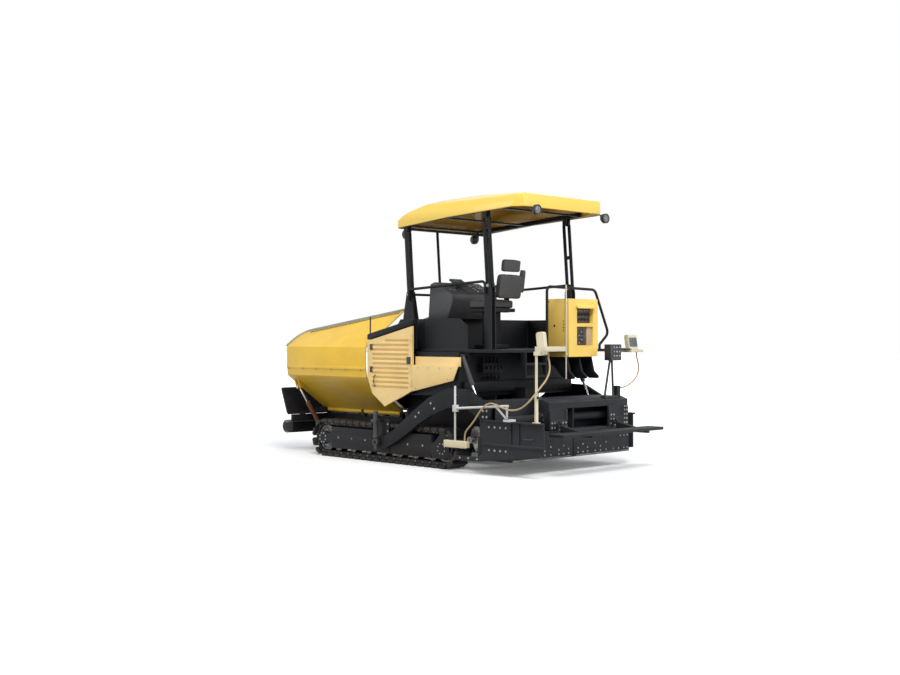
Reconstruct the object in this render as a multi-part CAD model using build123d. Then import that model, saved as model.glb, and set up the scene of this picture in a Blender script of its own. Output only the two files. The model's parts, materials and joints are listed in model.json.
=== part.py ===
"""Tracked asphalt paver with folding hopper, canopy and extending screed.

Millimetres. +X points forward, +Y to the machine's left, +Z up.
The origin lies on the ground under the middle of the machine.
"""
from build123d import *
from math import cos, sin, radians, degrees, atan2, pi, hypot
import os

# ---------------------------------------------------------------- driving dimensions
FRONT_X = 3000              # front of the push rollers
REAR_X = -3000              # rear edge of the footboard
CLEAR = 12                  # running gap between moving pieces
PIN_GAP = 1                 # gap round a hinge pin

# half widths, from the tracks outwards
TRACK_OUTER_Y = 1160
HOUSING_HALF = TRACK_OUTER_Y + 5
DECK_HALF = HOUSING_HALF - 35
ARM_GAP = 25                # between the housing and a tow arm
ARM_THICK = 50
ARM_Y = HOUSING_HALF + ARM_GAP      # inner face of a tow arm
SIDE_Y = ARM_Y + ARM_THICK + 10     # outer skin of hopper and side doors
SCREED_HALF = SIDE_Y - 25
APRON_HALF = SIDE_Y - 70
GATE_Y = SIDE_Y + 40        # outer face of an end gate
SPAN_Y = GATE_Y + 145       # outermost fixed piece on each side

# tracks
SHOE_WIDTH = 300
SHOE_THICK = 45
SHOE_LENGTH = 130
CHAIN_THICK = 40
CHAIN_WIDTH = 190
TRACK_RADIUS = 280          # outside of the shoes round the sprocket
SPROCKET_X = -1000
IDLER_X = 1620
SHOES = 44
ROLLER_RADIUS = 75
BOTTOM_ROLLERS = 7

# chassis and engine bay
FRAME_Y = 450               # outer face of the chassis plates
FRAME_PLATE = 20
FRAME_BOTTOM = 250
FRAME_TOP = 600
FRAME_REAR = -1260
FRAME_FRONT = 2440
TUNNEL_TOP = 1000
BAY_FRONT = 480
BAY_REAR = -470
HOUSING_REAR = -1330
ENGINE_HEIGHT = 570
ENGINE_HALF = 700

# hopper
HOPPER_REAR = 520
HOPPER_FRONT = 2430
WING_PLATE = 20
HINGE_Y = 480
HINGE_Z = 660
HINGE_ROD = 18
FLOOR_EDGE_Z = 1200         # outer edge of the floor with the wing folded
CREASE_Z = 1660
LEAN = 0.72                 # rise over run of the inward leaning strip
WING_TOP_FRONT = 1870
WING_TOP_REAR = 2200
WING_CORNER = 240           # radius of the rounded front corner, in the strip's own plane
LIP_HEIGHT = 55
LIP_THICK = 26

# front apron and push rollers
APRON_HINGE_X = 2480
APRON_HINGE_Z = 560
APRON_HEIGHT = 480
APRON_LEAN = 22
PUSH_RADIUS = 105
PUSH_Z = 370
PUSH_LENGTH = 860
PUSH_INNER_Y = 60
PUSH_PIVOT_X = 2560

# side doors and hood
DOOR_REAR = -490
DOOR_THICK = 30
HOOD_FRONT_Z = 1750         # top of the side door at its front
HOOD_REAR_Z = 1960
LOUVRES = 11
LOUVRE_PITCH = 66
LOUVRE_GAP = 30
LOUVRE_BOTTOM = 1085
STRIP_TOP = 1420
STRIP_REAR = -1420
HOOD_HINGE_X = 110
HOOD_GAP = 46               # between hood and hopper, where the hood's front swings past

# platform
DECK_Z = 1640
DECK_THICK = 40
DECK_REAR = -2010
SEAT_X = -1300
SEAT_Y = 500
SEAT_Z = 2200
CABINET_TOP = 2340
CABINET_BOTTOM = 1530
RAIL_TUBE = 19

# canopy
FRONT_PIVOT = (0, 2420)     # x, z of the front posts' lower pivots
REAR_PIVOT = (-1590, 2500)
POST_RISE = 950             # pivot to pivot
POST_LEAN = 70              # how far the upper pivots stand ahead of the lower ones
POST_Y = 830
CANOPY_FRONT = 265
CANOPY_REAR = -2180
CANOPY_HALF = 900
CANOPY_WALL = 22
LAMP_RADIUS = 68

# tow arms and screed
TOW_X = 250
TOW_Z = 300
TOW_PIN = 32
SCREED_FRONT = -1750
SCREED_REAR = -2350
SCREED_BOTTOM = 190
SCREED_TOP = 970
EXT_FRONT = -2060
EXT_TOP = 560
GUIDE_X = -2190
GUIDE_Z = 720
GUIDE_RADIUS = 55
GATE_PLATE = 20
GATE_FRONT = -1890
GATE_REAR = -2960
GATE_TOP = 730
BOARD_TOP = 570
BOARD_THICK = 40
BOARD_WIDTH = 250
BOARD_HINGE_Z = 610

# augers
AUGER_X = -1515
AUGER_Z = 430
AUGER_RADIUS = 180
AUGER_SHAFT = 45
AUGER_STUB = 30
AUGER_PITCH = 260
FLIGHT_THICK = 14

os.makedirs("parts", exist_ok=True)


# ---------------------------------------------------------------- small helpers
def block(x0, x1, y0, y1, z0, z1):
    """A box between two corners."""
    return Pos((x0 + x1) / 2, (y0 + y1) / 2, (z0 + z1) / 2) * Box(abs(x1 - x0), abs(y1 - y0), abs(z1 - z0))


def side_plate(points, y0, y1, radii=None):
    """A plate whose outline is given as (x, z) and which spans y0 to y1."""
    line = FilletPolyline(*points, radius=radii, close=True) if radii else Polyline(*points, close=True)
    return extrude(Plane.XZ.offset(-max(y0, y1)) * make_face(line), amount=abs(y1 - y0))


def cross_plate(points, x0, x1):
    """A plate whose outline is given as (y, z) and which spans x0 to x1."""
    return extrude(Plane.YZ.offset(min(x0, x1)) * make_face(Polyline(*points, close=True)),
                   amount=abs(x1 - x0))


def rod(start, end, radius):
    """A round bar from start to end."""
    run = Vector(*end) - Vector(*start)
    bar = Cylinder(radius, run.length, align=(Align.CENTER, Align.CENTER, Align.MIN))
    return Plane(origin=start, z_dir=run) * bar


def shaft_y(x, z, y0, y1, radius):
    return rod((x, min(y0, y1), z), (x, max(y0, y1), z), radius)


def bent_tube(points, radii, radius):
    """A round tube along straight runs joined by arcs."""
    path = FilletPolyline(*points, radius=radii)
    return sweep(Plane(origin=path @ 0, z_dir=path % 0) * Circle(radius), path=path)


def mirrored(shape):
    return mirror(shape, about=Plane.XZ)


def fuse(pieces):
    """One shape from pieces that touch or overlap."""
    pieces = list(pieces)
    return pieces[0] + pieces[1:] if len(pieces) > 1 else pieces[0]


def save(name, *shapes):
    solids = [solid for shape in shapes for solid in shape.solids()]
    whole = solids[0] if len(solids) == 1 else Compound(children=solids)
    export_step(whole, "parts/" + name + ".step")


def save_pair(name, *shapes):
    """The left piece and its mirror image on the right."""
    save(name + "_left", *shapes)
    save(name + "_right", *[mirrored(s) for s in shapes])


def save_both(name, *shapes):
    """The left piece and its mirror image in one node."""
    save(name, *shapes, *[mirrored(s) for s in shapes])


# ---------------------------------------------------------------- tracks
TRACK_Z = TRACK_RADIUS
TRACK_MID_Y = TRACK_OUTER_Y - SHOE_WIDTH / 2
CHAIN_RADIUS = TRACK_RADIUS - SHOE_THICK
RUN = IDLER_X - SPROCKET_X
HALF_TURN = pi * CHAIN_RADIUS
PERIMETER = 2 * RUN + 2 * HALF_TURN


def loop_place(s):
    """Place (x, z, angle) at a distance round the loop from the sprocket's underside."""
    if s < RUN:
        return SPROCKET_X + s, TRACK_Z - CHAIN_RADIUS, -90
    if s < RUN + HALF_TURN:
        a = -90 + degrees((s - RUN) / CHAIN_RADIUS)
        return IDLER_X + CHAIN_RADIUS * cos(radians(a)), TRACK_Z + CHAIN_RADIUS * sin(radians(a)), a
    if s < 2 * RUN + HALF_TURN:
        return IDLER_X - (s - RUN - HALF_TURN), TRACK_Z + CHAIN_RADIUS, 90
    a = 90 + degrees((s - 2 * RUN - HALF_TURN) / CHAIN_RADIUS)
    return SPROCKET_X + CHAIN_RADIUS * cos(radians(a)), TRACK_Z + CHAIN_RADIUS * sin(radians(a)), a


def stadium(radius, y0, y1):
    outline = Pos((SPROCKET_X + IDLER_X) / 2, TRACK_Z) * SlotCenterToCenter(RUN, 2 * radius)
    return extrude(Plane.XZ.offset(-y1) * outline, amount=y1 - y0)


chain_y0 = TRACK_MID_Y - CHAIN_WIDTH / 2
chain_y1 = TRACK_MID_Y + CHAIN_WIDTH / 2
chain = (stadium(CHAIN_RADIUS + 2, chain_y0, chain_y1)
         - stadium(CHAIN_RADIUS - CHAIN_THICK, chain_y0 - 1, chain_y1 + 1))
shoe_outline = Polyline((0, -SHOE_LENGTH / 2), (0, SHOE_LENGTH / 2), (SHOE_THICK, SHOE_LENGTH / 2 - 16),
                        (SHOE_THICK, 16 - SHOE_LENGTH / 2), close=True)
shoe = Rot(90, 0, 0) * extrude(make_face(shoe_outline), amount=SHOE_WIDTH / 2, both=True)
pitch = PERIMETER / SHOES
# the first shoe lies so that the flat run begins and ends with a whole shoe
first_shoe = (RUN % pitch) / 2
shoes = []
for n in range(SHOES):
    x, z, angle = loop_place(first_shoe + n * pitch)
    shoes.append(Pos(x, TRACK_MID_Y, z) * Rot(0, -angle, 0) * shoe)
save_pair("track", chain + shoes)

wheel_radius = CHAIN_RADIUS - CHAIN_THICK - 1
wheel_half = CHAIN_WIDTH / 2 - 25
gear = []
for x in (SPROCKET_X, IDLER_X):
    wheel = shaft_y(x, TRACK_Z, TRACK_MID_Y - wheel_half, TRACK_MID_Y + wheel_half, wheel_radius)
    dish = shaft_y(x, TRACK_Z, TRACK_MID_Y + wheel_half - 25, TRACK_MID_Y + wheel_half + 1, wheel_radius - 35)
    hub = shaft_y(x, TRACK_Z, TRACK_MID_Y, TRACK_MID_Y + wheel_half, 80)
    gear.append(wheel - dish + hub)
roller_z = SHOE_THICK + CHAIN_THICK + ROLLER_RADIUS + 1
roller_x0 = SPROCKET_X + 280
for n in range(BOTTOM_ROLLERS):
    x = roller_x0 + (RUN - 560) * n / (BOTTOM_ROLLERS - 1)
    gear.append(shaft_y(x, roller_z, TRACK_MID_Y - wheel_half, TRACK_MID_Y + wheel_half, ROLLER_RADIUS))
save_both("running_gear", *gear)

beam_bottom = roller_z + ROLLER_RADIUS + 8
beam_top = 2 * TRACK_Z - SHOE_THICK - CHAIN_THICK - 20
beam_x0 = SPROCKET_X + wheel_radius + 15
beam_x1 = IDLER_X - wheel_radius - 15
shield_y = TRACK_OUTER_Y + 10
skirt_y = TRACK_MID_Y + CHAIN_WIDTH / 2 - 8
track_frame = [block(beam_x0, beam_x1, TRACK_MID_Y - 90, shield_y, beam_bottom, beam_top),
               block(beam_x0, beam_x1, skirt_y, shield_y, roller_z - 20, beam_bottom)]
for x, reach in ((SPROCKET_X, beam_x0), (IDLER_X, beam_x1)):
    track_frame.append(block(x, reach, skirt_y, shield_y, TRACK_Z - 70, TRACK_Z + 70))
    track_frame.append(shaft_y(x, TRACK_Z, skirt_y, shield_y, 100))
CROSS_X = (-450, 950)
for x in CROSS_X:
    track_frame.append(block(x, x + 220, FRAME_Y, TRACK_MID_Y - 80, beam_bottom, beam_top))
# the guard ahead of the sprocket keeps spilled mix off the track
track_frame.append(side_plate([(-820, 140), (-780, 270), (-1000, 510), (-1060, 510), (-1200, 140)], shield_y,
                              shield_y + 10))
save_both("track_frames", fuse(track_frame))

# ---------------------------------------------------------------- chassis
inner_y = FRAME_Y - FRAME_PLATE
push_z0 = FRAME_BOTTOM + 60
push_z1 = FRAME_BOTTOM + 190
chassis = [block(FRAME_REAR, FRAME_FRONT, inner_y, FRAME_Y, FRAME_BOTTOM, FRAME_TOP),
           block(FRAME_REAR, FRAME_FRONT, -FRAME_Y, -inner_y, FRAME_BOTTOM, FRAME_TOP),
           block(FRAME_REAR, FRAME_FRONT, -inner_y, inner_y, FRAME_BOTTOM + 60, FRAME_BOTTOM + 76),
           block(FRAME_REAR, FRAME_FRONT, -inner_y, inner_y, FRAME_TOP - 30, FRAME_TOP - 14),
           block(FRAME_FRONT - 30, FRAME_FRONT, -FRAME_Y, FRAME_Y, FRAME_BOTTOM, FRAME_TOP),
           block(FRAME_FRONT, PUSH_PIVOT_X + 45, -110, 110, push_z0 - 40, push_z0),
           block(FRAME_FRONT, PUSH_PIVOT_X + 45, -110, 110, push_z1, push_z1 + 40),
           rod((PUSH_PIVOT_X, 0, push_z0), (PUSH_PIVOT_X, 0, push_z1), 25)]
for side in (1, -1):
    chassis.append(block(HOUSING_REAR, BAY_FRONT, side * inner_y, side * FRAME_Y, FRAME_TOP, TUNNEL_TOP))
save("main_frame", fuse(chassis))

# front crossbeam that carries the apron, and outriggers under the wing cylinders
CYL_X = HOPPER_FRONT - 130
CYL_FOOT = (700, 420)
CYL_EYE = (SIDE_Y - 140, 1030)
crossbeam = [block(FRAME_FRONT - 40, FRAME_FRONT + 2, FRAME_Y, APRON_HALF - 20, FRAME_TOP - 120,
                   FRAME_TOP - 10)]
for x in (CYL_X - 55, CYL_X + 35):
    crossbeam.append(cross_plate([(FRAME_Y, 330), (740, 380), (740, 450), (700, 460), (FRAME_Y, 560)], x,
                                 x + 20))
crossbeam.append(block(CYL_X - 55, FRAME_FRONT - 39, 640, 660, 400, FRAME_TOP - 100))
crossbeam.append(block(CYL_X + 20, FRAME_FRONT - 39, 560, 600, 480, FRAME_TOP - 90))
crossbeam.append(rod((CYL_X - 50, *CYL_FOOT), (CYL_X + 50, *CYL_FOOT), 16))

# hinge rods of the hopper wings on lugs that stand on the chassis
LUG_HALF = 20
lug_x = [HOPPER_REAR + 60, (HOPPER_REAR + HOPPER_FRONT) / 2, HOPPER_FRONT - 60]
hinge = [rod((HOPPER_REAR + 20, HINGE_Y, HINGE_Z), (HOPPER_FRONT - 20, HINGE_Y, HINGE_Z), HINGE_ROD)]
lug_outline = [(inner_y, FRAME_TOP), (FRAME_Y, FRAME_TOP), (FRAME_Y, FRAME_TOP - 40),
               (HINGE_Y + 20, HINGE_Z - 24),
               (HINGE_Y + 24, HINGE_Z), (HINGE_Y + 10, HINGE_Z + 24), (HINGE_Y - 14, HINGE_Z + 24),
               (inner_y, FRAME_TOP + 20)]
for x in lug_x:
    hinge.append(cross_plate(lug_outline, x - LUG_HALF, x + LUG_HALF))
save_both("wing_supports", fuse(crossbeam), fuse(hinge))

# ---------------------------------------------------------------- slat conveyor
SLATS = 12
CHAIN_Y = (90, 340)
slat_z = FRAME_TOP - 14
slat_x0 = HOUSING_REAR + 80
slat_x1 = FRAME_FRONT - 60
strands = []
for y in CHAIN_Y:
    strands.append(block(slat_x0 - 30, slat_x1 + 10, y - 18, y + 18, slat_z, slat_z + 18))
for n in range(SLATS):
    x = slat_x0 + (slat_x1 - slat_x0) * n / (SLATS - 1)
    strands.append(block(x - 20, x + 10, 20, inner_y - 8, slat_z, slat_z + 32))
save_both("conveyor", fuse(strands))

# ---------------------------------------------------------------- hopper wings
floor_edge_y = SIDE_Y - 30
floor_angle = atan2(FLOOR_EDGE_Z - HINGE_Z, floor_edge_y - HINGE_Y)


def wing_outline(top):
    """Section (y, z) of a folded wing: along the outside, then back along the inside."""
    start = (HINGE_Y + 45 * cos(floor_angle), HINGE_Z + 45 * sin(floor_angle))
    t = WING_PLATE
    outside = [start, (floor_edge_y, FLOOR_EDGE_Z), (SIDE_Y - 12, FLOOR_EDGE_Z + 24),
               (SIDE_Y, FLOOR_EDGE_Z + 180),
               (SIDE_Y, CREASE_Z), (SIDE_Y - (top - CREASE_Z) / LEAN, top)]
    inside = [(outside[5][0] - 1.3 * t, top), (SIDE_Y - t, CREASE_Z - 0.5 * t),
              (SIDE_Y - t, FLOOR_EDGE_Z + 180),
              (SIDE_Y - 12 - t, FLOOR_EDGE_Z + 32), (start[0] - t * sin(floor_angle),
                                                     start[1] + t * cos(floor_angle))]
    return outside + inside


wing = cross_plate(wing_outline(WING_TOP_REAR + 130), HOPPER_REAR, HOPPER_FRONT)
wing -= side_plate([(HOPPER_REAR - 50, WING_TOP_REAR + 7), (HOPPER_FRONT + 50, WING_TOP_FRONT - 7),
                    (HOPPER_FRONT + 50, 2600), (HOPPER_REAR - 50, 2600)], 200, SIDE_Y + 100)
# stiffening band along the lower side and a rib up the front edge
wing += block(HOPPER_REAR + 4, HOPPER_FRONT - 4, SIDE_Y - 8, SIDE_Y + 8, FLOOR_EDGE_Z + 130,
              FLOOR_EDGE_Z + 170)
for x0, x1 in zip(lug_x[:-1], lug_x[1:]):
    x0, x1 = x0 + LUG_HALF + CLEAR, x1 - LUG_HALF - CLEAR
    strap = Pos((x0 + x1) / 2, HINGE_Y, HINGE_Z) * Rot(degrees(floor_angle), 0, 0) * Pos(0, 40,
        10) * Box(x1 - x0, 50, 20)
    wing = wing + rod((x0, HINGE_Y, HINGE_Z), (x1, HINGE_Y, HINGE_Z), 34) + strap
    wing -= rod((x0 - 5, HINGE_Y, HINGE_Z), (x1 + 5, HINGE_Y, HINGE_Z), HINGE_ROD + PIN_GAP)
# ears under the floor for the cylinder's pin
def floor_z(y):
    return HINGE_Z + (y - HINGE_Y) * (FLOOR_EDGE_Z - HINGE_Z) / (floor_edge_y - HINGE_Y)


ear_y, ear_z = CYL_EYE
ear = [(ear_y - 24, ear_z - 20), (ear_y + 22, ear_z - 22), (ear_y + 60, floor_z(ear_y + 60) + 4),
       (ear_y - 80, floor_z(ear_y - 80) + 4)]
for x in (CYL_X - 50, CYL_X + 32):
    wing += cross_plate(ear, x, x + 18)
wing += rod((CYL_X - 45, *CYL_EYE), (CYL_X + 45, *CYL_EYE), 12)


def strip_point(x, z, out=0):
    """A point in the middle plane of the leaning strip."""
    return Vector(x, SIDE_Y - (z - CREASE_Z) / LEAN - WING_PLATE * 0.65 - out, z)


# the strip's top edge turns down round the front corner, and a rubber lip follows it
edge_rear = strip_point(HOPPER_REAR, WING_TOP_REAR)
edge_corner = strip_point(HOPPER_FRONT, WING_TOP_FRONT)
edge_low = strip_point(HOPPER_FRONT, CREASE_Z + 12)
to_rear = (edge_rear - edge_corner).normalized()
edge_rear += to_rear * 6        # the lip stands a little past the plate's rear edge
to_low = (edge_low - edge_corner).normalized()
strip_normal = to_rear.cross(to_low).normalized()
away_top = (to_rear * to_rear.dot(to_low) - to_low).normalized()
away_front = (to_low * to_rear.dot(to_low) - to_rear).normalized()


def offset_edge(distance):
    """The strip's edge moved outwards: rear end, corner, lower end and the path through them."""
    corner = edge_corner - (to_rear + to_low) * (distance / to_rear.cross(to_low).length)
    rear, low = edge_rear + away_top * distance, edge_low + away_front * distance
    return rear, corner, low, FilletPolyline(rear, corner, low, radius=WING_CORNER + distance)


def strip_band(inner, outer, thick):
    """A flat band that follows the strip's edge between two offsets."""
    rear_in, _, low_in, path_in = offset_edge(inner)
    rear_out, _, low_out, path_out = offset_edge(outer)
    face = make_face(path_in + Line(low_in, low_out) + path_out + Line(rear_out, rear_in))
    return extrude(face, amount=thick / 2, dir=strip_normal, both=True)


wing -= strip_band(0, 0.7 * WING_CORNER, 4 * WING_PLATE)
save_pair("hopper_wing", wing)
lip = strip_band(0, LIP_HEIGHT, LIP_THICK) - wing
save_pair("wing_lip", lip)

back_half = [(0, TUNNEL_TOP - 30), (inner_y, TUNNEL_TOP - 30), (inner_y, HINGE_Z + 100),
             (FRAME_Y + 50, HINGE_Z + 70),
             (SIDE_Y - 70, FLOOR_EDGE_Z + 40), (SIDE_Y - 50, CREASE_Z - 20), (SIDE_Y - 350, 1900), (0, 1900)]
hopper_back = cross_plate(back_half, BAY_FRONT, BAY_FRONT + 16)
hopper_back = hopper_back + mirrored(hopper_back)




def cylinder_pair(foot, eye, barrel_radius, rod_radius, pin_radius, eye_gap, axis):
    """Barrel and rod between two pins; the rod's eye has a wide hole, since the linkage is open there."""
    foot, eye = Vector(*foot), Vector(*eye)
    length = (eye - foot).length
    along = (eye - foot).normalized()
    axis = Vector(*axis)
    half = barrel_radius * 0.8
    barrel = rod(foot - axis * half, foot + axis * half, barrel_radius * 0.85)
    barrel += rod(foot + along * barrel_radius * 0.4, foot + along * length * 0.6, barrel_radius)
    barrel -= rod(foot + along * length * 0.08, foot + along * length * 0.62, rod_radius + PIN_GAP)
    barrel -= rod(foot - axis * (barrel_radius + 5), foot + axis * (barrel_radius + 5), pin_radius + PIN_GAP)
    eye_radius = pin_radius + eye_gap
    ram = rod(foot + along * length * 0.35, eye - along * (eye_radius + 6), rod_radius)
    ram += rod(eye - axis * 14, eye + axis * 14, eye_radius + 14)
    ram -= rod(eye - axis * 20, eye + axis * 20, eye_radius)
    return barrel, ram


wing_barrel, wing_rod = cylinder_pair((CYL_X, *CYL_FOOT), (CYL_X, *CYL_EYE), 34, 18, 16, 12, (1, 0, 0))
save_pair("wing_barrel", wing_barrel)
save_pair("wing_rod", wing_rod)

# ---------------------------------------------------------------- front apron
tilted = Pos(APRON_HINGE_X, 0, APRON_HINGE_Z) * Rot(0, APRON_LEAN, 0)
apron = [tilted * block(-8, 10, -APRON_HALF, APRON_HALF, 34, APRON_HEIGHT),
         tilted * block(-20, 22, -APRON_HALF, APRON_HALF, APRON_HEIGHT - 60, APRON_HEIGHT)]
APRON_KNUCKLES = (-900, -300, 300, 900)
for y in APRON_KNUCKLES:
    apron.append(tilted * block(-12, 12, y - 50, y + 50, 0, 60))
    apron.append(shaft_y(APRON_HINGE_X, APRON_HINGE_Z, y - 50, y + 50, 16))
for y in (-APRON_HALF, -600, 0, 600, APRON_HALF):
    edge = min(max(y, 10 - APRON_HALF), APRON_HALF - 10)
    apron.append(tilted * block(8, 26, edge - 10, edge + 10, 60, APRON_HEIGHT - 20))
save("front_apron", fuse(apron))

# ---------------------------------------------------------------- push rollers
push_x = FRONT_X - PUSH_RADIUS
beam_half = PUSH_INNER_Y + PUSH_LENGTH + 40
push = [block(push_x - 235, push_x - 135, -beam_half, beam_half, PUSH_Z - 85, PUSH_Z + 85),
        block(PUSH_PIVOT_X - 60, push_x - 200, -90, 90, push_z0 + 5, push_z1 - 5),
        shaft_y(push_x, PUSH_Z, -beam_half, beam_half, 30)]
for y in (-beam_half, -PUSH_INNER_Y + 10, PUSH_INNER_Y - 30, beam_half - 20):
    cheek = side_plate([(push_x - 150, PUSH_Z - 85), (push_x - 150, PUSH_Z + 85), (push_x + 20, PUSH_Z + 55),
                        (push_x + 50, PUSH_Z), (push_x + 20, PUSH_Z - 55)], y, y + 20)
    push.append(cheek)
push = fuse(push) - rod((PUSH_PIVOT_X, 0, push_z0 - 10), (PUSH_PIVOT_X, 0, push_z1 + 10), 25 + PIN_GAP)
save("push_beam", push)
roller = shaft_y(push_x, PUSH_Z, PUSH_INNER_Y + 8, PUSH_INNER_Y + PUSH_LENGTH, PUSH_RADIUS)
roller -= shaft_y(push_x, PUSH_Z, 0, 2 * PUSH_LENGTH, 30 + PIN_GAP)
save_pair("push_roller", roller)

# ---------------------------------------------------------------- engine bay and tank housing
housing_top = DECK_Z - DECK_THICK
save("body_housing",
     fuse([hopper_back,
           block(BAY_REAR, BAY_FRONT, -HOUSING_HALF, HOUSING_HALF, TUNNEL_TOP, TUNNEL_TOP + 20),
           block(BAY_FRONT - 20, BAY_FRONT, -HOUSING_HALF, HOUSING_HALF, TUNNEL_TOP, HOOD_FRONT_Z),
           block(HOUSING_REAR, BAY_REAR, -HOUSING_HALF, HOUSING_HALF, TUNNEL_TOP, housing_top)]))
save("engine_block", block(BAY_REAR + 60, BAY_FRONT - 80, -ENGINE_HALF, ENGINE_HALF, TUNNEL_TOP + 20,
                           TUNNEL_TOP + ENGINE_HEIGHT))

# ---------------------------------------------------------------- side doors, strips, hood
door_outline = [(BAY_FRONT, HOOD_FRONT_Z), (DOOR_REAR, HOOD_REAR_Z), (DOOR_REAR, 1060), (-320, 985),
                (20, 850),
                (90, 815), (BAY_FRONT - 110, 1000), (BAY_FRONT, 1240)]
door = side_plate(door_outline, SIDE_Y - DOOR_THICK, SIDE_Y)
hood_slope = (HOOD_REAR_Z - HOOD_FRONT_Z) / (BAY_FRONT - DOOR_REAR)
slot_rear = DOOR_REAR + 80
slot_front = BAY_FRONT - 110
slots, blades = [], []
for n in range(LOUVRES):
    z = LOUVRE_BOTTOM + LOUVRE_PITCH * n
    limit = BAY_FRONT - (z + LOUVRE_GAP + 60 - HOOD_FRONT_Z) / hood_slope
    front = min(slot_front, limit)
    slots.append(block(slot_rear, front, SIDE_Y - DOOR_THICK - 1, SIDE_Y + 1, z, z + LOUVRE_GAP))
    blade = Box(front - slot_rear, 5, LOUVRE_GAP + 16)
    blades.append(Pos((front + slot_rear) / 2, SIDE_Y - DOOR_THICK / 2, z + LOUVRE_GAP / 2) * Rot(-35, 0,
        0) * blade)
hinge_x, hinge_y = DOOR_REAR + 12, SIDE_Y + 4
knuckles = []
for low, high in ((1120, 1210), (1420, 1510), (1760, 1850)):
    knuckles.append(rod((hinge_x, hinge_y, low), (hinge_x, hinge_y, high), 10))
save_pair("service_door", door - slots + blades + knuckles)

strip_front = DOOR_REAR - CLEAR
strip = side_plate([(strip_front, STRIP_TOP), (STRIP_REAR, STRIP_TOP), (STRIP_REAR + 100, 1220), (-810, 1110),
                    (strip_front, 1050)], SIDE_Y + 4, SIDE_Y + 16)
shelf_rear = HOUSING_REAR + 10
strip += block(shelf_rear, strip_front, HOUSING_HALF, SIDE_Y + 16, STRIP_TOP - 14, STRIP_TOP)
strip += block(STRIP_REAR + 20, strip_front, SIDE_Y - 62, SIDE_Y - 48, STRIP_TOP - 14, STRIP_TOP + 115)
strip += block(shelf_rear, strip_front, HOUSING_HALF, SIDE_Y - 48, STRIP_TOP + 101, STRIP_TOP + 115)
save_both("side_strips", strip)

rail_y = SIDE_Y - 100
RAIL_HEIGHT = 104
RAIL_GAP = 19               # over the door, whose tall rear corner turns below the sloping rail
rail = side_plate([(BAY_FRONT + 5, HOOD_FRONT_Z + RAIL_GAP), (DOOR_REAR, HOOD_REAR_Z + RAIL_GAP),
                   (DOOR_REAR, HOOD_REAR_Z + RAIL_HEIGHT),
                   (BAY_FRONT + 5, HOOD_FRONT_Z + RAIL_HEIGHT)], rail_y, SIDE_Y - 4)
outer_edges = [edge for edge in rail.edges() if edge.length > 500 and edge.center().Y > SIDE_Y - 20]
rail = fillet(max(outer_edges, key=lambda edge: edge.center().Z), 30)
inner_wall = side_plate([(BAY_FRONT - 22, HOOD_FRONT_Z + RAIL_GAP + 8), (DOOR_REAR, HOOD_REAR_Z + RAIL_GAP + 2),
                         (DOOR_REAR, 1640),
                         (BAY_FRONT - 22, 1640)], rail_y, rail_y + 14)
save_both("hood_rails", rail + inner_wall)

hood_front = BAY_FRONT - HOOD_GAP
hood_z = HOOD_FRONT_Z + 10
hood_half = rail_y - CLEAR
hood = side_plate([(hood_front, hood_z + 12), (HOOD_HINGE_X, hood_z + 90), (HOOD_HINGE_X, hood_z + 150),
                   (hood_front, hood_z + 72)], -hood_half, hood_half)
for y in (-700, 0, 700):
    hood += shaft_y(HOOD_HINGE_X, hood_z + 150, y - 80, y + 80, 10)
save("engine_hood", hood)

# ---------------------------------------------------------------- platform
wall_x = HOOD_HINGE_X - 20
POST_PIN = 18
POST_HALF = 30              # half of a post's width, between the pivot plates
CHEEK = 14
CHEEK_INNER = POST_HALF + 2
BASES = ((FRONT_PIVOT, 2060, 120), (REAR_PIVOT, DECK_Z, 70))     # pivot, foot height, half length of the foot
CABINET = (-2050, -1670, -880, -250)     # x0, x1, y0, y1
BRACKET_Y = (-820, -560, -300)
STEP_Y = (150, 560)
bulkhead = side_plate([(wall_x, housing_top), (wall_x, HOOD_FRONT_Z + 165), (wall_x - 120, 2060),
                       (-560, 2060), (-560, housing_top)], 70 - DECK_HALF, DECK_HALF - 70)
deck = [bulkhead,
        block(DECK_REAR, -550, -DECK_HALF, DECK_HALF, housing_top, DECK_Z)]
for side in (1, -1):
    outline = [(-562, DECK_Z), (-562, 2060), (-1250, 2060), (-1400, 1960), (-1400, DECK_Z)]
    y = side * (DECK_HALF - 70)
    deck.append(side_plate(outline, y, y + side * 14))
deck = fuse(deck) - block(CABINET[0], CABINET[1], CABINET[2], CABINET[3], housing_top, DECK_Z)
# curved brackets that carry the cabinet off the housing's rear wall
bracket_outline = [(HOUSING_REAR, housing_top), (HOUSING_REAR, 1440), (-1560, 1455), (-1760, 1400),
                   (-1880, 1270), (-1960, 1225),
                   (-2110, 1225), (-2125, 1255), (-2040, 1330), (-1990, CABINET_BOTTOM),
                   (CABINET[1], CABINET_BOTTOM),
                   (CABINET[1], housing_top)]
for y in BRACKET_Y:
    deck += side_plate(bracket_outline, y - 16, y + 16)
# boarding steps under the rear edge
for y in STEP_Y:
    deck += side_plate([(DECK_REAR, housing_top), (DECK_REAR, 1250), (DECK_REAR + 50, 1250),
                        (DECK_REAR + 110, housing_top)], y, y + 12)
for z in (1262, 1430):
    deck += block(DECK_REAR, DECK_REAR + 50, STEP_Y[0], STEP_Y[1] + 12, z, z + 26)
# pivot plates of the canopy's posts
for (x, z), low, spread in BASES:
    for y in (POST_Y - CHEEK_INNER - CHEEK, POST_Y + CHEEK_INNER):
        cheek = side_plate([(x - spread, low), (x - 60, z - 60), (x - 40, z + 40), (x + 40, z + 40),
                            (x + 60, z - 60),
                            (x + spread, low)], y, y + CHEEK)
        cheek -= shaft_y(x, z, y - 5, y + CHEEK + 5, POST_PIN + PIN_GAP)
        deck = deck + cheek + mirrored(cheek)
save("platform", deck)

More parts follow.
